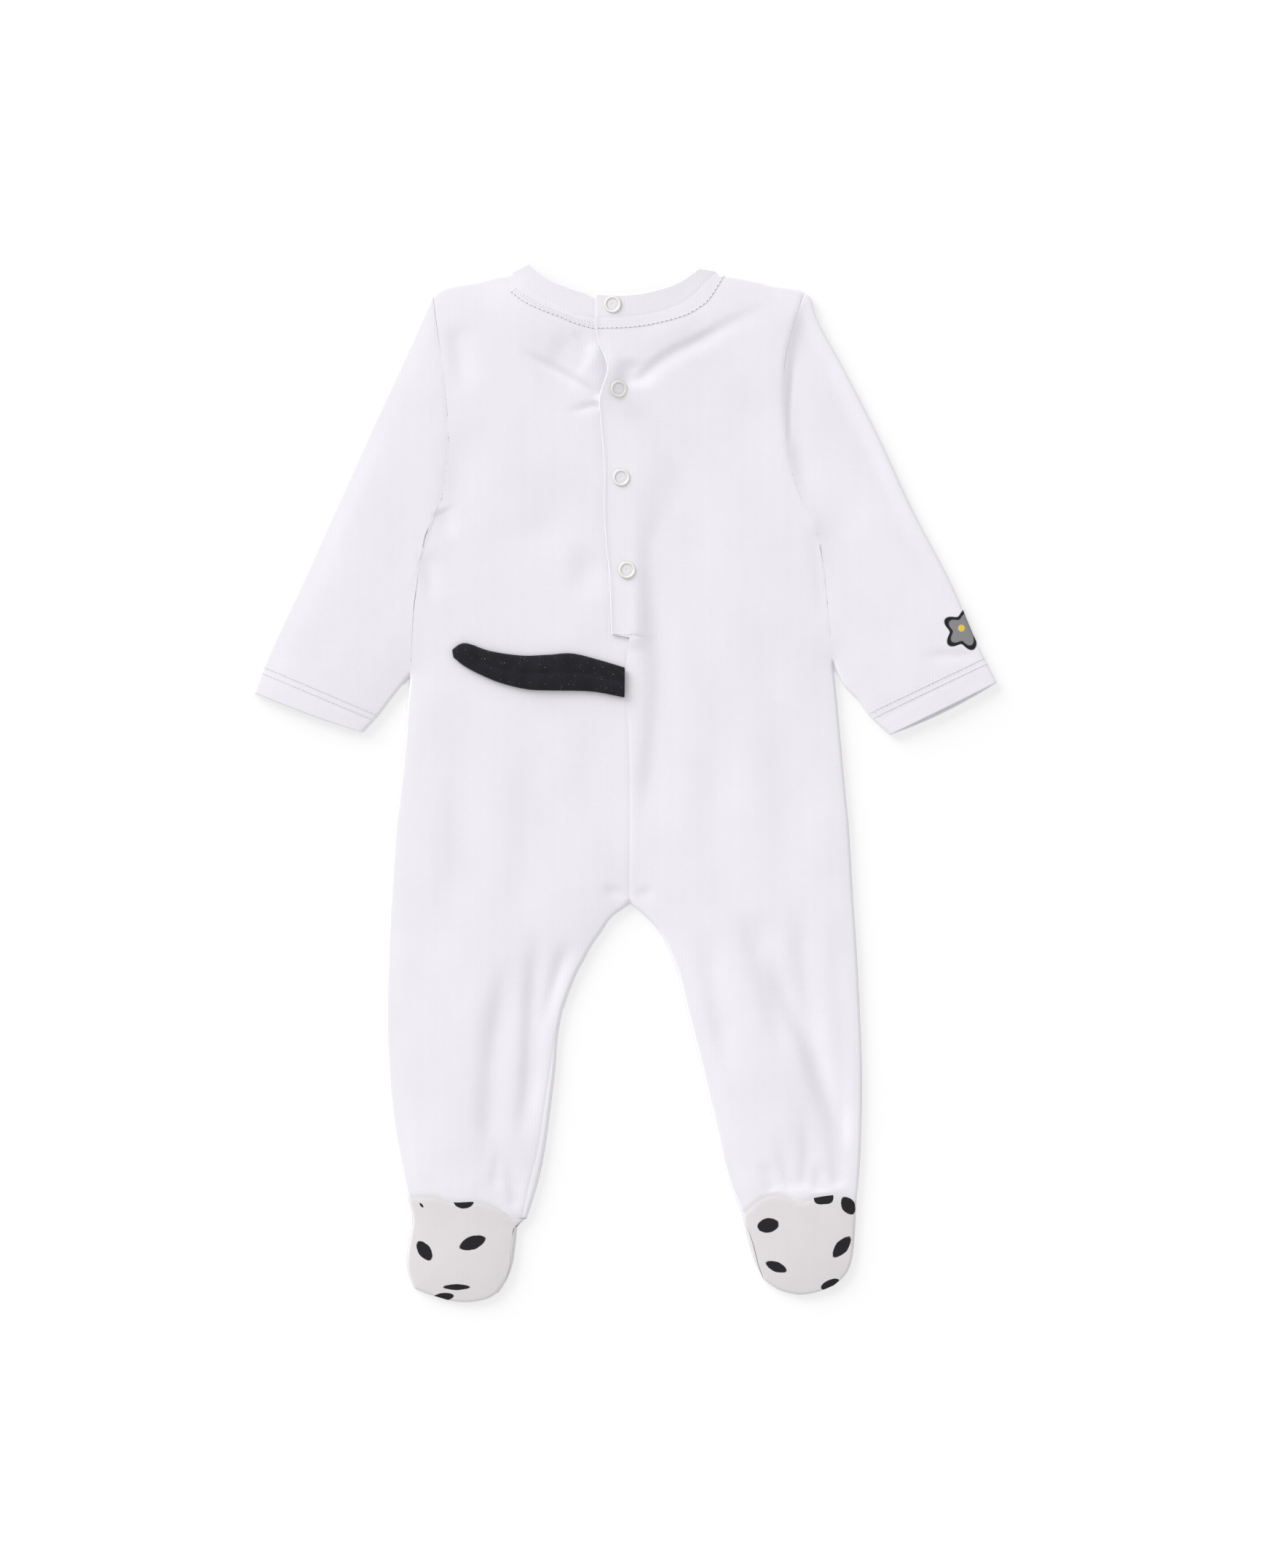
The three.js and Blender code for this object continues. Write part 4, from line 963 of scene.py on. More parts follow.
def side_boundary(armhole, side, inset):
    insets = {"chest": HALF_GAP, "cut": HALF_GAP, "waist": (HALF_GAP, inset), "leg": inset}
    parts = [(armhole, HALF_GAP, STRETCH_ENDS["yoke"])]
    return parts + [(side[name], insets[name], STRETCH_ENDS[name]) for name in insets]


def opening_boundary(edge, inner_leg):
    parts = [(edge[name], 0, STRETCH_ENDS[name]) for name in ("yoke", "chest", "cut")]
    parts.append((CENTRE_SEAM, HALF_GAP, STRETCH_ENDS["waist"]))
    return parts + [(inner_leg, HALF_GAP, STRETCH_ENDS["leg"])]


def left_back_parts(cell):
    across = graded(BODY_WIDTH, cell, [SHOULDER_SHARE, UNDERLAP_SHARE])
    plan = patch(
        [
            (SHOULDER_LEFT, EDGE_INSET, SHOULDER_SHARE + JOIN),
            (BAND_SEAM["left"], HALF_GAP, UNDERLAP_SHARE), (BAND_SEAM["under"], HALF_GAP, 1),
        ],
        [(HEEL_SEAM_LEFT[:-1] + LEG_SEAM_LEFT[-1:], HALF_GAP, 1)],
        side_boundary(ARMHOLE_LEFT, SIDE_LEFT, EDGE_INSET),
        opening_boundary(UNDERLAP_EDGE, LEG_SEAM_LEFT),
        across, body_down(cell),
    )
    return sheet_parts(raised(plan, left_back_height), upper_rest())


def right_back_parts(cell):
    across, down = graded(BODY_WIDTH, cell, [1 - SHOULDER_SHARE]), body_down(cell)
    opening = opening_boundary(OVERLAP_EDGE, LEG_SEAM_RIGHT)
    plan = patch(
        [(BAND_SEAM["right"], HALF_GAP, 1 - SHOULDER_SHARE), (SHOULDER_RIGHT, EDGE_INSET, 1)],
        [(LEG_SEAM_RIGHT[-1:] + HEEL_SEAM_RIGHT[1:], HALF_GAP, 1)],
        opening, side_boundary(ARMHOLE_RIGHT, SIDE_RIGHT, EDGE_INSET), across, down,
        left_base=[(OVERLAP_BASE, 0, STRETCH_ENDS["chest"]), *opening[3:]],
    )
    edge = np.where(down <= STRETCH_ENDS["cut"], FREE_EDGE / 2, SEWN_EDGE)[:, None]
    return sheet_parts(raised(plan, right_back_height), upper_rest(), left=edge)


def dropped(points):
    """The front neckline lies lower, by a drop that fades out at the shoulders."""
    moved = []
    for x, y in points:
        away = min(abs(x - FRONT_NECK_MIDDLE) / FRONT_NECK_HALF, 1)
        moved.append((x, y - FRONT_NECK_DROP * (1 - away * away)))
    return moved


FRONT_MIDDLE = 3
YOKE_END = 161.5
CUT = 0.5
FRONT_SEAM = [tuple(point) for point in Seam(
    dropped(BAND_SEAM["left"] + BAND_SEAM["right"][1:])).at(np.linspace(0, 1, 49))]
NECK_SPLIT = next(index for index, point in enumerate(FRONT_SEAM) if point[0] >= FRONT_MIDDLE)


def on_surface(x, y):
    return np.full(len(x), wall() / 2)


def edge_strip_height(x, y):
    """Cloth of the front or of a foot upper that comes round the edge and lies on top."""
    inside, *_rest = nearest(OUTLINE, x, y)
    low = 0.4 * (1 - smooth_step(0, 1.2, inside - EDGE_INSET))
    return upper_height(x, y) - low


def edge_strip(inner, outer, turned):
    length = Seam(outer).length
    ends = [[inner[0], outer[0]], [inner[-1], outer[-1]]]
    sides = [(inner, HALF_GAP, 1)], [(outer, EDGE_INSET, 1)]
    if turned:
        ends = [end[::-1] for end in ends]
        sides = sides[::-1]
    plan = patch(
        [(ends[0], 0, 1)], [(ends[1], 0, 1)], sides[0], sides[1],
        np.linspace(0, 1, 11), graded(length, 2.5),
    )
    return sheet_parts(raised(plan, edge_strip_height), 0.6)


def front_parts(cell):
    ends = [
        ([FRONT_SEAM[NECK_SPLIT], (FRONT_MIDDLE, YOKE_END)], "yoke"),
        ([(FRONT_MIDDLE, YOKE_END), (FRONT_MIDDLE, OPENING_END)], "chest"),
        ([(FRONT_MIDDLE, OPENING_END), (FRONT_MIDDLE, OPENING_END - CUT)], "cut"),
        ([(FRONT_MIDDLE, OPENING_END - CUT), (3, -69.5)], "waist"),
    ]
    centre = [(points, 0, STRETCH_ENDS[name]) for points, name in ends]
    down = body_down(cell)
    left = patch(
        [
            (SHOULDER_LEFT, LOWER_INSET, SHOULDER_SHARE + JOIN),
            (FRONT_SEAM[:NECK_SPLIT + 1], HALF_GAP, 1),
        ],
        [(ANKLE_LEFT, HALF_GAP, 1)],
        side_boundary(ARMHOLE_LEFT, SIDE_LEFT, LOWER_INSET),
        centre + [(INNER_LEG_LEFT, LOWER_INSET, 1)],
        graded(BODY_WIDTH, cell, [SHOULDER_SHARE]), down,
    )
    right = patch(
        [(FRONT_SEAM[NECK_SPLIT:], HALF_GAP, 1 - SHOULDER_SHARE), (SHOULDER_RIGHT, LOWER_INSET, 1)],
        [(ANKLE_RIGHT, HALF_GAP, 1)],
        centre + [(INNER_LEG_RIGHT, LOWER_INSET, 1)],
        side_boundary(ARMHOLE_RIGHT, SIDE_RIGHT, LOWER_INSET),
        graded(BODY_WIDTH, cell, [1 - SHOULDER_SHARE]), down,
    )
    return joined(
        sheet_parts(raised(left, on_surface), 0), sheet_parts(raised(right, on_surface), 0),
        edge_strip(LOWER_LEG_SEAM_LEFT, LOWER_INNER_LEG_LEFT, False),
        edge_strip(LOWER_LEG_SEAM_RIGHT, LOWER_INNER_LEG_RIGHT, True),
    )


def sleeve_parts(cuff, sides, mouth, cell):
    """Both layers of a flat sleeve; mouth is how far its lower layer shows at the cuff."""
    across, down = (graded(length, cell) for length in SLEEVE_SIZE)
    plan = patch(sides["top"], [(cuff, 0, 1)], sides["left"], sides["right"], across, down, settle=4)
    middle = 1 - (2 * across - 1) ** 2
    upper = raised(plan, upper_height)
    upper[:, :, 2] += HEM_LIFT * smooth_step(*HEM_SHARES, down)[:, None] * np.minimum(middle * 8, 1)
    way = plan[-1] - plan[-6]
    way = way / np.linalg.norm(way, axis=1)[:, None]
    shown = smooth_step(MOUTH_START, 1, down)[:, None] * (MOUTH_LEAST + (1 - MOUTH_LEAST) * middle[None])
    lower = raised(plan + shown[:, :, None] * way[None] * mouth, on_surface)
    return joined(
        sheet_parts(upper, upper_rest(), bottom=FREE_EDGE), sheet_parts(lower, 0, bottom=FREE_EDGE),
    )


def sleeve_inner(sleeve, side):
    return [
        (side["chest"], SLEEVE_LAP, 0.5), (sleeve["beside"], SLEEVE_LAP, 0.64),
        (sleeve["inner"], (SLEEVE_LAP, EDGE_INSET), 1),
    ]


def sole_parts(heel, foot, left, right, cell):
    plan = patch(
        [(heel, HALF_GAP, 1)], [(foot["toe"], EDGE_INSET, 1)], [(*left, 1)], [(*right, 1)],
        *(graded(length, cell) for length in FOOT_SIZE),
    )
    return sheet_parts(raised(plan, upper_height), upper_rest())


def foot_upper_parts(ankle, foot, strip, cell):
    plan = patch(
        [(ankle, HALF_GAP, 1)], [(foot["toe"], LOWER_INSET, 1)], [(foot["left"], LOWER_INSET, 1)],
        [(foot["right"], LOWER_INSET, 1)], *(graded(length, cell) for length in FOOT_UPPER_SIZE),
    )
    return joined(sheet_parts(raised(plan, on_surface), 0), strip)


def band_parts(top, bottom, left, right, height, length, cell, lowest):
    plan = patch(top, bottom, left, right, graded(length, cell), graded(BAND_HEIGHT, BAND_CELL))
    return sheet_parts(raised(plan, height), lowest, top=FREE_EDGE, left=FREE_EDGE)


def front_band_parts(cell):
    upper = dropped(NECK_EDGE["left"][:-1] + NECK_EDGE["right"])
    return band_parts(
        [(upper, LOWER_INSET, 1)],
        [(FRONT_SEAM[:NECK_SPLIT + 1], HALF_GAP, 0.5), (FRONT_SEAM[NECK_SPLIT:], HALF_GAP, 1)],
        [([upper[0], FRONT_SEAM[0]], 0, 1)], [([upper[-1], FRONT_SEAM[-1]], 0, 1)],
        on_surface, 120, cell, 0,
    )


TAIL_LENGTH = 100
TAIL_HALF_WALL = 0.45
TAIL_LIFT = 0.25
TAIL_UPPER = 0.95
TAIL_LOWER = 0.75
TAIL_TIP = 0.04
TAIL_CREASE = {"depth": 0.55, "reach": 0.07, "fade": (0.1, 0.35)}
TAIL_DOWN = (
    0, 0.02, 0.06, 0.12, 0.2, 0.3, 0.38, 0.44, 0.5, 0.56, 0.62, 0.7, 0.8, 0.88, 0.94, 0.98, 1,
)


def tail_parts(cell):
    """A turned tube pressed flat, with a soft crease along its middle."""
    along = graded(TAIL_LENGTH, cell)
    down = np.array(TAIL_DOWN)
    top, bottom = TAIL["top"], TAIL["bottom"]
    plan = patch(
        [(top, EDGE_INSET, 1)], [(bottom, EDGE_INSET, 1)],
        [([top[0], bottom[0]], EDGE_INSET, 1)], [([top[-1], bottom[-1]], 0, 1)], along, down,
    )
    flat = plan.reshape(-1, 2)
    rest = upper_height(flat[:, 0], flat[:, 1]).reshape(plan.shape[:2]) + wall() / 2 + TAIL_GAP
    away = np.abs(2 * down - 1)
    tip = np.sqrt(1 - (1 - np.clip(along / TAIL_TIP, 0, 1)) ** 2)
    fullness = np.sqrt(1 - away ** 3)[:, None] * tip[None]
    pressed = np.exp(-((down - 0.5) / TAIL_CREASE["reach"]) ** 2)[:, None]
    crease = 1 - TAIL_CREASE["depth"] * pressed * smooth_step(*TAIL_CREASE["fade"], along)[None]
    low = rest + TAIL_HALF_WALL + TAIL_LIFT
    upper = np.dstack([plan, low + TAIL_UPPER + TAIL_UPPER * fullness * crease])
    lower = np.dstack([plan, low + TAIL_LOWER - TAIL_LOWER * fullness])
    ring = np.concatenate([upper, lower[-2:0:-1]], 0).swapaxes(0, 1)[:, ::-1]
    return tube_parts(ring, TAIL_HALF_WALL)


def lathe(profile, sides):
    """A closed turned piece from radius and height pairs that start and end on the axis."""
    angles = np.linspace(0, 2 * math.pi, sides, endpoint=False)
    rings = [np.array([[r * math.cos(a), r * math.sin(a), h] for a in angles]) for r, h in profile[1:-1]]
    points = np.vstack(rings + [[[0, 0, profile[0][1]], [0, 0, profile[-1][1]]]])
    faces = []
    for ring in range(len(rings) - 1):
        for side in range(sides):
            ahead = (side + 1) % sides
            a, b = ring * sides + side, ring * sides + ahead
            faces.append([a, b, b + sides, a + sides])
    bottom, top = len(points) - 2, len(points) - 1
    last = (len(rings) - 1) * sides
    for side in range(sides):
        ahead = (side + 1) % sides
        faces.append([bottom, ahead, side])
        faces.append([top, last + side, last + ahead])
    return points, faces


SNAP_SIDES = 56
SNAP_SEAT = {"radius": 4.2, "points": 16, "percentile": 88, "gap": 0.02}
SNAP_PROFILE = [
    (0, 0), (3.6, 0), (4.7, 0.02), (4.97, 0.1), (5, 0.22), (4.93, 0.4), (4.75, 0.56), (4.5, 0.68),
    (4.2, 0.72), (3.9, 0.68), (3.65, 0.56), (3.45, 0.42), (3.32, 0.3), (3.2, 0.22), (3.08, 0.18), (2.9, 0.2),
    (1.6, 0.26), (0.9, 0.27), (0.62, 0.24), (0.5, 0.16), (0.35, 0.1), (0, 0.08),
]


def snap_parts(snap):
    """Points, faces and radii of a snap that is tilted and seated on the right back."""
    points, faces = lathe(SNAP_PROFILE, SNAP_SIDES)
    tilt, towards = math.radians(snap["tilt"]), math.radians(snap["towards"])
    axis = np.array([-math.sin(towards), math.cos(towards), 0])
    turned = points * math.cos(tilt) + np.cross(axis, points) * math.sin(tilt)
    turned += axis * (points @ axis)[:, None] * (1 - math.cos(tilt))
    angles = np.linspace(0, 2 * math.pi, SNAP_SEAT["points"], endpoint=False)
    x, y = snap["at"]
    reach = SNAP_SEAT["radius"]
    rest = right_back_height(x + reach * np.cos(angles), y + reach * np.sin(angles))
    slope = -math.tan(tilt) * reach * np.cos(angles - towards)
    turned[:, 2] += np.percentile(rest - slope, SNAP_SEAT["percentile"]) + wall() / 2 + SNAP_SEAT["gap"]
    return turned + [x, y, 0], faces, np.hypot(points[:, 0], points[:, 1])


# Geometry Nodes: one small shape repeated along every path
ROW_TREE = "Row Along A Path"
ROW_DOTS = 60


def row_tree():
    tree = bpy.data.node_groups.new(ROW_TREE, "GeometryNodeTree")
    face = tree.interface
    face.new_socket("Paths", in_out="INPUT", socket_type="NodeSocketGeometry")
    for label in ("Pitch", "Shift", "Length", "Width", "Height"):
        face.new_socket(label, in_out="INPUT", socket_type="NodeSocketFloat")
    face.new_socket("Finish", in_out="INPUT", socket_type="NodeSocketMaterial")
    face.new_socket("Row", in_out="OUTPUT", socket_type="NodeSocketGeometry")
    nodes, links = tree.nodes, tree.links
    given, result = nodes.new("NodeGroupInput"), nodes.new("NodeGroupOutput")
    to_curve = nodes.new("GeometryNodeMeshToCurve")
    resample = nodes.new("GeometryNodeResampleCurve")
    resample.mode = "LENGTH"
    tangent = nodes.new("GeometryNodeInputTangent")
    turn = nodes.new("FunctionNodeAlignRotationToVector")
    turn.axis = "X"
    bead = nodes.new("GeometryNodeMeshUVSphere")
    bead.inputs["Segments"].default_value = 8
    bead.inputs["Rings"].default_value = 5
    bead.inputs["Radius"].default_value = 0.5
    size = nodes.new("ShaderNodeCombineXYZ")
    shift = nodes.new("ShaderNodeCombineXYZ")
    shaped = nodes.new("GeometryNodeTransform")
    unevenness = nodes.new("FunctionNodeRandomValue")
    unevenness.data_type = "FLOAT"
    unevenness.inputs["Min"].default_value = 0.9
    unevenness.inputs["Max"].default_value = 1.08
    unevenness.inputs["Seed"].default_value = 7
    instance = nodes.new("GeometryNodeInstanceOnPoints")
    realize = nodes.new("GeometryNodeRealizeInstances")
    smooth = nodes.new("GeometryNodeSetShadeSmooth")
    finish = nodes.new("GeometryNodeSetMaterial")
    for index, label in enumerate(("Length", "Width", "Height")):
        links.new(given.outputs[label], size.inputs[index])
    for source, output, target, socket in (
        (given, "Paths", to_curve, 0), (to_curve, 0, resample, "Curve"),
        (given, "Pitch", resample, "Length"), (tangent, 0, turn, "Vector"),
        (given, "Shift", shift, 0), (bead, "Mesh", shaped, "Geometry"),
        (size, 0, shaped, "Scale"), (shift, 0, shaped, "Translation"),
        (resample, 0, instance, "Points"), (shaped, 0, instance, "Instance"),
        (turn, 0, instance, "Rotation"), (unevenness, 1, instance, "Scale"),
        (instance, 0, smooth, 0), (smooth, 0, realize, 0), (realize, 0, finish, "Geometry"),
        (given, "Finish", finish, "Material"), (finish, 0, result, 0),
    ):
        links.new(source.outputs[output], target.inputs[socket])
    return tree


def path_object(name, rows):
    points, edges = [], []
    for row in rows:
        start = len(points)
        points += (np.asarray(row) * MM).tolist()
        edges += [(start + index, start + index + 1) for index in range(len(row) - 1)]
    mesh = bpy.data.meshes.new(name)
    mesh.from_pydata(points, edges, [])
    path = bpy.data.objects.new(name, mesh)
    bpy.context.scene.collection.objects.link(path)
    return path


def repeat_along(name, rows, finish, **lengths):
    """Sets the row tree on the paths and turns its result into a plain mesh."""
    tree = bpy.data.node_groups.get(ROW_TREE) or row_tree()
    path = path_object(name + "_path", rows)
    modifier = path.modifiers.new("row", "NODES")
    modifier.node_group = tree
    inputs = {item.name: item.identifier for item in tree.interface.items_tree if item.in_out == "INPUT"}
    for label, value in lengths.items():
        modifier[inputs[label]] = value * MM
    modifier[inputs["Finish"]] = finish
    bpy.context.view_layer.update()
    evaluated = path.evaluated_get(bpy.context.evaluated_depsgraph_get())
    mesh = bpy.data.meshes.new_from_object(evaluated)
    path.modifiers.clear()
    bpy.data.objects.remove(path)
    if not mesh.polygons:
        raise RuntimeError(f"{name} has no stitches")
    mesh.name = name
    made = bpy.data.objects.new(name, mesh)
    bpy.context.scene.collection.objects.link(made)
    return made


def stitch_row(points, height, sink):
    """A path on the cloth, sunk below its face by that much."""
    dots = Seam(points).at(np.linspace(0, 1, ROW_DOTS))
    z = height(dots[:, 0], dots[:, 1]) + wall() / 2 - sink
    return np.column_stack([dots, z])


# Settings


def size_setting(name, description, millimetres):
    return bpy.props.FloatProperty(
        name=name, description=description, default=millimetres * MM, unit="LENGTH")


def colour_setting(name, description, colour):
    return bpy.props.FloatVectorProperty(
        name=name, description=description, default=colour, subtype="COLOR", min=0, max=1)


class RomperSizes(bpy.types.PropertyGroup):
    wall: size_setting("Cloth Wall", "Thickness of the jersey", 1.2)
    cell: size_setting("Mesh Cell", "Width of one cell of the cloth", 2)
    loft: size_setting("Loft", "How far the cloth rises inside its edge", 1.5)
    fold_depth: bpy.props.FloatProperty(
        name="Fold Depth", description="Scale of all folds", default=0.8)
    wale: size_setting("Knit Wale", "Width of one rib of the knit", 0.8)
    course: size_setting("Knit Course", "Height of one loop of the knit", 0.7)
    stitch_pitch: size_setting("Stitch Pitch", "Length of one stitch and its gap", 2.6)
    thread_width: size_setting("Thread Width", "Width of the sewing thread", 0.5)


class RomperColours(bpy.types.PropertyGroup):
    white_jersey: colour_setting("White Jersey", "Body, sleeves and neck bands", (0.818, 0.803, 0.85))
    sole_jersey: colour_setting("Sole Jersey", "Soles under their spots", (0.715, 0.687, 0.697))
    foot_jersey: colour_setting("Foot Jersey", "Uppers of the feet", (0.69, 0.665, 0.675))
    black_jersey: colour_setting("Black Jersey", "Tail", (0.0075, 0.007, 0.011))
    spots: colour_setting("Spots", "Printed spots on the soles", (0.016, 0.014, 0.017))
    snaps: colour_setting("Snaps", "Enamel of the ring snaps", (0.84, 0.81, 0.765))
    thread: colour_setting("Thread", "Sewing thread", (0.8, 0.79, 0.82))


class RomperStage(bpy.types.PropertyGroup):
    lens: bpy.props.FloatProperty(name="Lens", description="Focal length in millimetres", default=85)
    camera_height: bpy.props.FloatProperty(
        name="Camera Height", description="Height of the camera over the floor", default=2.14, unit="LENGTH")
    sky: bpy.props.FloatProperty(name="Sky", description="Strength of the light from all sides", default=0.81)
    sun: bpy.props.FloatProperty(name="Key Light", description="Strength of the soft key light", default=2.66)
    floor_glow: bpy.props.FloatProperty(
        name="Floor Glow", description="Strength of the light from below the floor", default=0.465)
    sun_angle: bpy.props.FloatProperty(
        name="Key Light Size", description="How wide the key light looks", default=math.radians(40),
        subtype="ANGLE")


# Operators


def cell_size():
    return bpy.context.scene.romper_sizes.cell / MM


class ROMPER_OT_front(bpy.types.Operator):
    """Makes the front, from the neck to both ankles"""

    bl_idname = "romper.front"
    bl_label = "Front"

    def execute(self, context):
        front = to_object("front_panel", front_parts(2.2 * cell_size()), material("white_jersey"))
        place(front, ["front"])
        return {"FINISHED"}


class ROMPER_OT_backs(bpy.types.Operator):
    """Makes the left back and the right back, which overlap at the opening"""

    bl_idname = "romper.backs"
    bl_label = "Backs"

    def execute(self, context):
        left = to_object("left_back_panel", left_back_parts(cell_size()), material("white_jersey"))
        place(left, ["back_left"])
        right = to_object("right_back_panel", right_back_parts(cell_size()), material("white_jersey"))
        place(right, ["back_right"])
        return {"FINISHED"}


class ROMPER_OT_neck_bands(bpy.types.Operator):
    """Makes the neck band in three lengths"""

    bl_idname = "romper.neck_bands"
    bl_label = "Neck Bands"

    def execute(self, context):
        cell, white = cell_size(), material("white_jersey")
        front = to_object("front_neck_band", front_band_parts(cell), white)
        place(front, ["neck_band_front"])
        left = to_object("left_neck_band", band_parts(
            [(NECK_EDGE["left"], EDGE_INSET, 0.6), (NECK_EDGE["under"], EDGE_INSET, 1)],
            [(BAND_SEAM["left"], HALF_GAP, 0.726), (BAND_SEAM["under"], HALF_GAP, 1)],
            [([NECK_EDGE["left"][0], BAND_SEAM["left"][0]], 0, 1)], [([(4, 280), (4, 269.3)], 0, 1)],
            left_back_height, 72, cell, upper_rest()), white)
        place(left, ["neck_band_back_left"])
        right = to_object("right_neck_band", band_parts(
            [(NECK_EDGE["right"], EDGE_INSET, 1)], [(BAND_SEAM["right"], HALF_GAP, 1)],
            [([(-17, 282.6), (-17, 268.4)], 0, 1)], [([(42, 297), (52.5, 295.2)], 0, 1)],
            right_back_height, 72, cell, upper_rest()), white)
        place(right, ["neck_band_back_right"])
        return {"FINISHED"}


class ROMPER_OT_sleeves(bpy.types.Operator):
    """Makes both sleeves, each with an upper and a lower layer and a turned cuff"""

    bl_idname = "romper.sleeves"
    bl_label = "Sleeves"

    def execute(self, context):
        cell = cell_size()
        left = to_object("left_sleeve", sleeve_parts(SLEEVE_LEFT["cuff"], {
            "top": [(ARMHOLE_LEFT, SLEEVE_LAP, 1)],
            "left": [(SLEEVE_LEFT["outer"], EDGE_INSET, 1)],
            "right": sleeve_inner(SLEEVE_LEFT, SIDE_LEFT)}, 0.3, cell), material("white_jersey"))
        place(left, ["sleeve_left"])
        right = to_object("right_sleeve", sleeve_parts(SLEEVE_RIGHT["cuff"], {
            "top": [(ARMHOLE_RIGHT[::-1], SLEEVE_LAP, 1)],
            "left": sleeve_inner(SLEEVE_RIGHT, SIDE_RIGHT),
            "right": [(SLEEVE_RIGHT["outer"], EDGE_INSET, 1)]}, 2.2, cell), material("printed_jersey"))
        place(right, ["sleeve_right"])
        return {"FINISHED"}


class ROMPER_OT_feet(bpy.types.Operator):
    """Makes the spotted soles and the uppers of both feet"""

    bl_idname = "romper.feet"
    bl_label = "Feet"

    def execute(self, context):
        cell = 0.6 * cell_size()
        left = to_object("left_sole", sole_parts(
            HEEL_SEAM_LEFT, FOOT_LEFT, (FOOT_LEFT["left"], EDGE_INSET), (SOLE_EDGE_LEFT, HALF_GAP), cell),
            material("left_sole_jersey"))
        place(left, ["sole_left"])
        right = to_object("right_sole", sole_parts(
            HEEL_SEAM_RIGHT, FOOT_RIGHT, (SOLE_EDGE_RIGHT, HALF_GAP), (FOOT_RIGHT["right"], EDGE_INSET),
            cell), material("right_sole_jersey"))
        place(right, ["sole_right"])
        strip = edge_strip(SOLE_EDGE_LEFT[1:], FOOT_LEFT["right"][1:], False)
        left_upper = to_object("left_foot_upper", foot_upper_parts(
            ANKLE_LEFT, FOOT_LEFT, strip, cell_size()), material("foot_jersey"))
        place(left_upper, ["foot_upper_left"])
        strip = edge_strip(SOLE_EDGE_RIGHT, FOOT_RIGHT["left"], True)
        right_upper = to_object("right_foot_upper", foot_upper_parts(
            ANKLE_RIGHT, FOOT_RIGHT, strip, cell_size()), material("foot_jersey"))
        place(right_upper, ["foot_upper_right"])
        return {"FINISHED"}


class ROMPER_OT_tail(bpy.types.Operator):
    """Makes the black tail, which lies on the left back"""

    bl_idname = "romper.tail"
    bl_label = "Tail"

    def execute(self, context):
        tail = to_object("jersey_tail", tail_parts(1.4), material("black_jersey"))
        place(tail, ["tail"])
        return {"FINISHED"}


class ROMPER_OT_snaps(bpy.types.Operator):
    """Makes the four ring snaps"""

    bl_idname = "romper.snaps"
    bl_label = "Snaps"

    def execute(self, context):
        for number, snap in enumerate(SNAPS, 1):
            points, faces, radius = snap_parts(snap)
            mesh = bpy.data.meshes.new(f"ring_snap_{number}")
            mesh.from_pydata((points * MM).tolist(), [], faces)
            mesh.polygons.foreach_set("use_smooth", np.ones(len(mesh.polygons), bool))
            mesh.materials.append(material("snap_enamel"))
            mesh.attributes.new("radius", "FLOAT", "POINT").data.foreach_set("value", radius)
            piece = bpy.data.objects.new(mesh.name, mesh)
            context.scene.collection.objects.link(piece)
            place(piece, [snap["node"]])
        return {"FINISHED"}


class ROMPER_OT_stitching(bpy.types.Operator):
    """Sews the neck, the cuffs and the end of the opening"""

    bl_idname = "romper.stitching"
    bl_label = "Stitching"

    def execute(self, context):
        sizes = context.scene.romper_sizes
        pitch, width = sizes.stitch_pitch / MM, sizes.thread_width / MM
        heights = {"neck_left": left_back_height, "neck_right": right_back_height,
                   "opening_end": right_back_height}
        for name, points in COVER_ROWS.items():
            cover = repeat_along(
                name, [stitch_row(points, left_back_height, 0.05)], material("sewing_thread"),
                Pitch=pitch * 0.6, Shift=0, Length=pitch * 0.35, Width=2 * width, Height=width)
            place(cover)
        for name, points in STITCH_ROWS.items():
            height = heights.get(name, upper_height)
            hem = HEM_LIFT if name.startswith("cuff") else 0
            rows = [stitch_row(points, height, -hem - 0.12)]
            sewn = repeat_along(
                name + "_stitches", rows, material("sewing_thread"),
                Pitch=pitch, Shift=pitch / 2, Length=pitch * 0.84, Width=width, Height=width * 0.7)
            place(sewn)
            # Dark dots in every gap between the stitches: painted shade of the needle holes, lighter at the
            # cuffs
            finish = material("needle_hole_shade" if name.startswith("neck") else "soft_needle_hole_shade")
            hole_shade_dots = repeat_along(
                name + "_needle_hole_shade", rows, finish,
                Pitch=pitch, Shift=0, Length=1, Width=0.6, Height=0.16)
            place(hole_shade_dots)
        return {"FINISHED"}


FLOOR_HALF = 6000
FLOOR_DROP = 0.2
KEY_LIGHT_TURN = (math.radians(-42.2), math.radians(-65), 0)
CAMERA_AT = (4, -0.4)


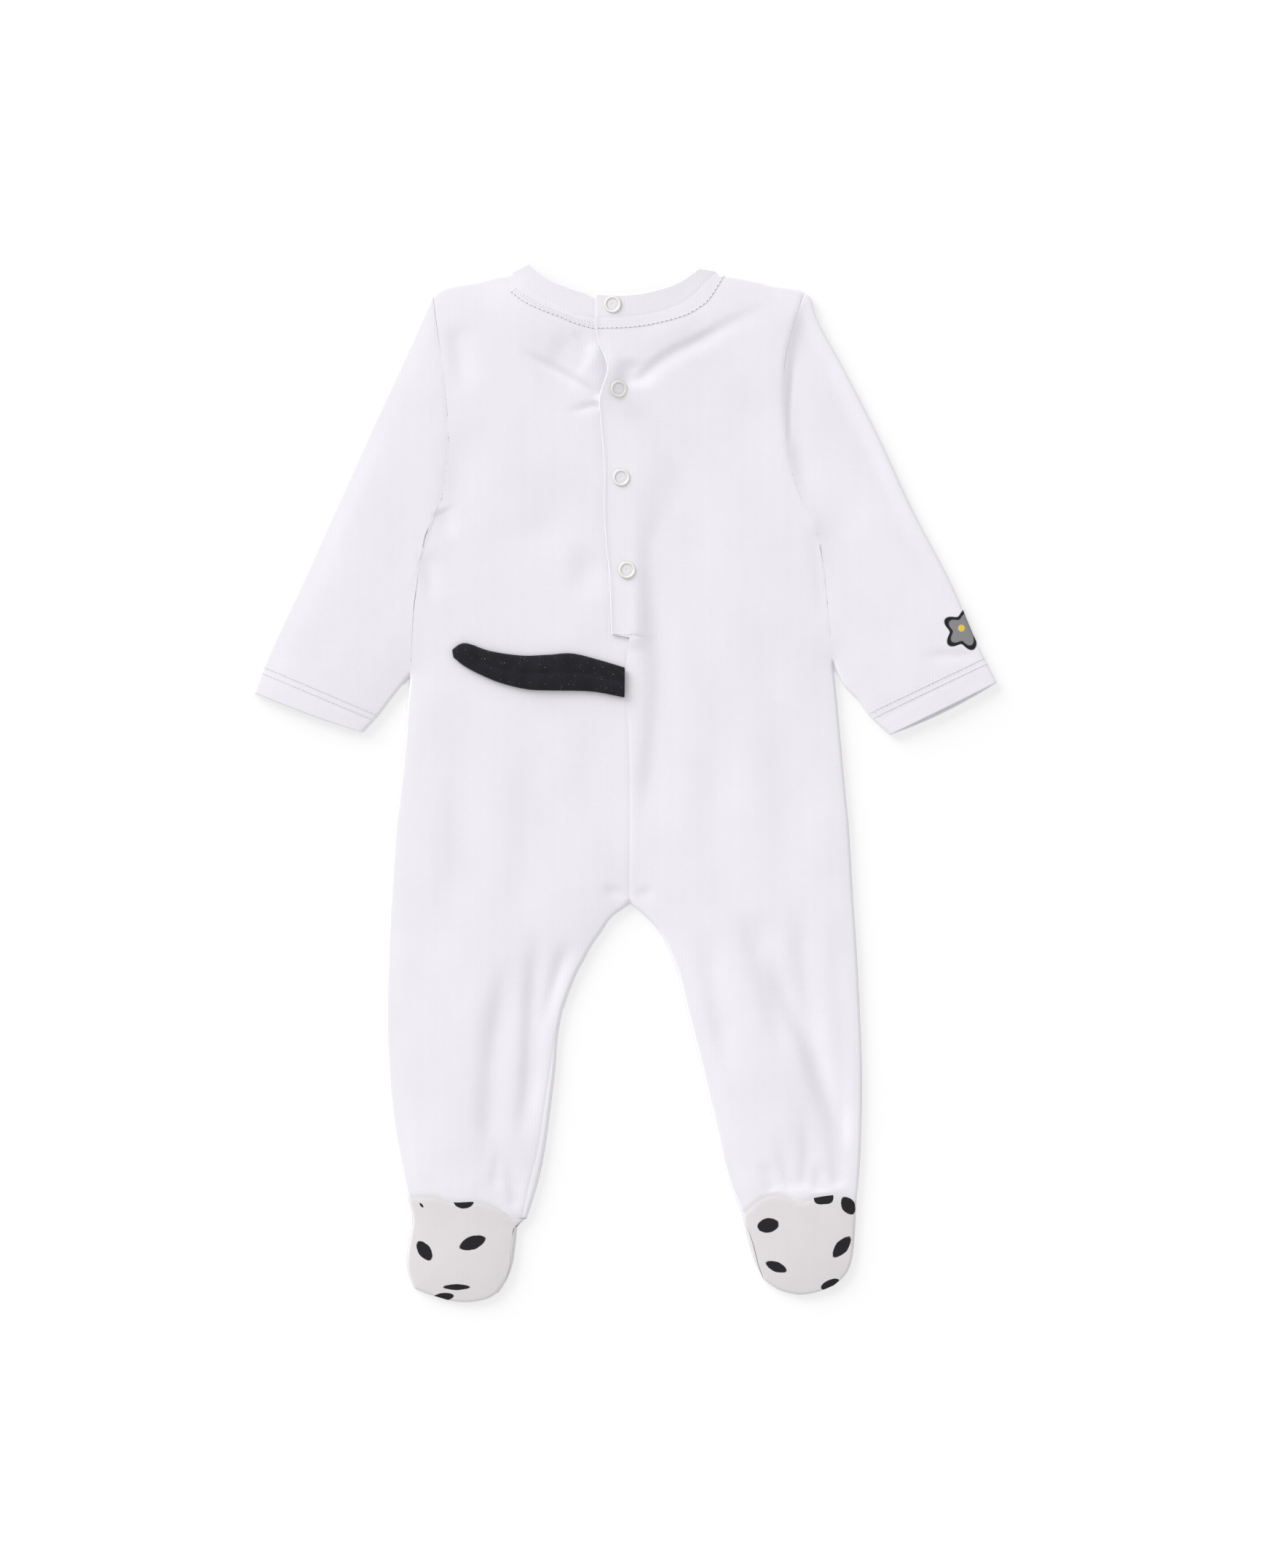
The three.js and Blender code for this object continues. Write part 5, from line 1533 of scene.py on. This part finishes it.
class ROMPER_OT_stage(bpy.types.Operator):
    """Sets the pale floor, the soft light and the camera straight above"""

    bl_idname = "romper.stage"
    bl_label = "Stage"

    def execute(self, context):
        scene, settings = context.scene, context.scene.romper_stage
        corners = FLOOR_HALF * np.array([(-1, -1, 0), (1, -1, 0), (1, 1, 0), (-1, 1, 0)], float)
        corners[:, 2] = -FLOOR_DROP
        finish = Finish(
            "pale_floor", roughness=0.8, Specular_IOR_Level=0.1, Emission_Color=(1, 1, 1, 1),
            Emission_Strength=settings.floor_glow)
        tone = finish.blend(finish.noise(400, 2.0), (0.5, 0.5, 0.5, 1), (0.51, 0.51, 0.51, 1))
        floor = to_object("pale_floor", (corners, np.array([[0, 1, 2, 3]])), finish.set(Base_Color=tone))
        world = bpy.data.worlds.new("soft_daylight")
        world.use_nodes = True
        background = world.node_tree.nodes["Background"]
        background.inputs["Color"].default_value = (1, 1, 1, 1)
        background.inputs["Strength"].default_value = settings.sky
        scene.world = world
        light = bpy.data.lights.new("key_light", "SUN")
        light.energy = settings.sun
        light.angle = settings.sun_angle
        lamp = bpy.data.objects.new("key_light", light)
        lamp.rotation_euler = KEY_LIGHT_TURN
        scene.collection.objects.link(lamp)
        camera = bpy.data.cameras.new("camera_above")
        camera.lens = settings.lens
        camera.clip_end = 20
        eye = bpy.data.objects.new("camera_above", camera)
        eye.location = (CAMERA_AT[0] * MM, CAMERA_AT[1] * MM, settings.camera_height)
        scene.collection.objects.link(eye)
        scene.camera = eye
        scene.view_settings.view_transform = "Standard"
        scene.view_settings.look = "None"
        return {"FINISHED"}


class ROMPER_PT_panel(bpy.types.Panel):
    """Lists the sizes, the colours and the pieces of the romper"""

    bl_idname = "ROMPER_PT_panel"
    bl_label = "Romper"
    bl_space_type = "VIEW_3D"
    bl_region_type = "UI"
    bl_category = "Romper"

    def draw(self, context):
        for group in (context.scene.romper_sizes, context.scene.romper_colours, context.scene.romper_stage):
            box = self.layout.box()
            for name in group.__annotations__:
                box.prop(group, name)
        for operator in OPERATORS:
            self.layout.operator(operator.bl_idname)


SETTINGS = {"romper_sizes": RomperSizes, "romper_colours": RomperColours, "romper_stage": RomperStage}
OPERATORS = (
    ROMPER_OT_stage, ROMPER_OT_front, ROMPER_OT_backs, ROMPER_OT_neck_bands, ROMPER_OT_sleeves,
    ROMPER_OT_feet, ROMPER_OT_tail, ROMPER_OT_snaps, ROMPER_OT_stitching,
)


def register():
    for group in (*SETTINGS.values(), *OPERATORS, ROMPER_PT_panel):
        bpy.utils.register_class(group)
    for name, group in SETTINGS.items():
        setattr(bpy.types.Scene, name, bpy.props.PointerProperty(type=group))


def unregister():
    for name in SETTINGS:
        delattr(bpy.types.Scene, name)
    for group in (ROMPER_PT_panel, *reversed(OPERATORS), *reversed(SETTINGS.values())):
        bpy.utils.unregister_class(group)


def main():
    register()
    bpy.ops.romper.stage()
    bpy.ops.romper.front()
    bpy.ops.romper.backs()
    bpy.ops.romper.neck_bands()
    bpy.ops.romper.sleeves()
    bpy.ops.romper.feet()
    bpy.ops.romper.tail()
    bpy.ops.romper.snaps()
    bpy.ops.romper.stitching()


if __name__ == "__main__":
    main()
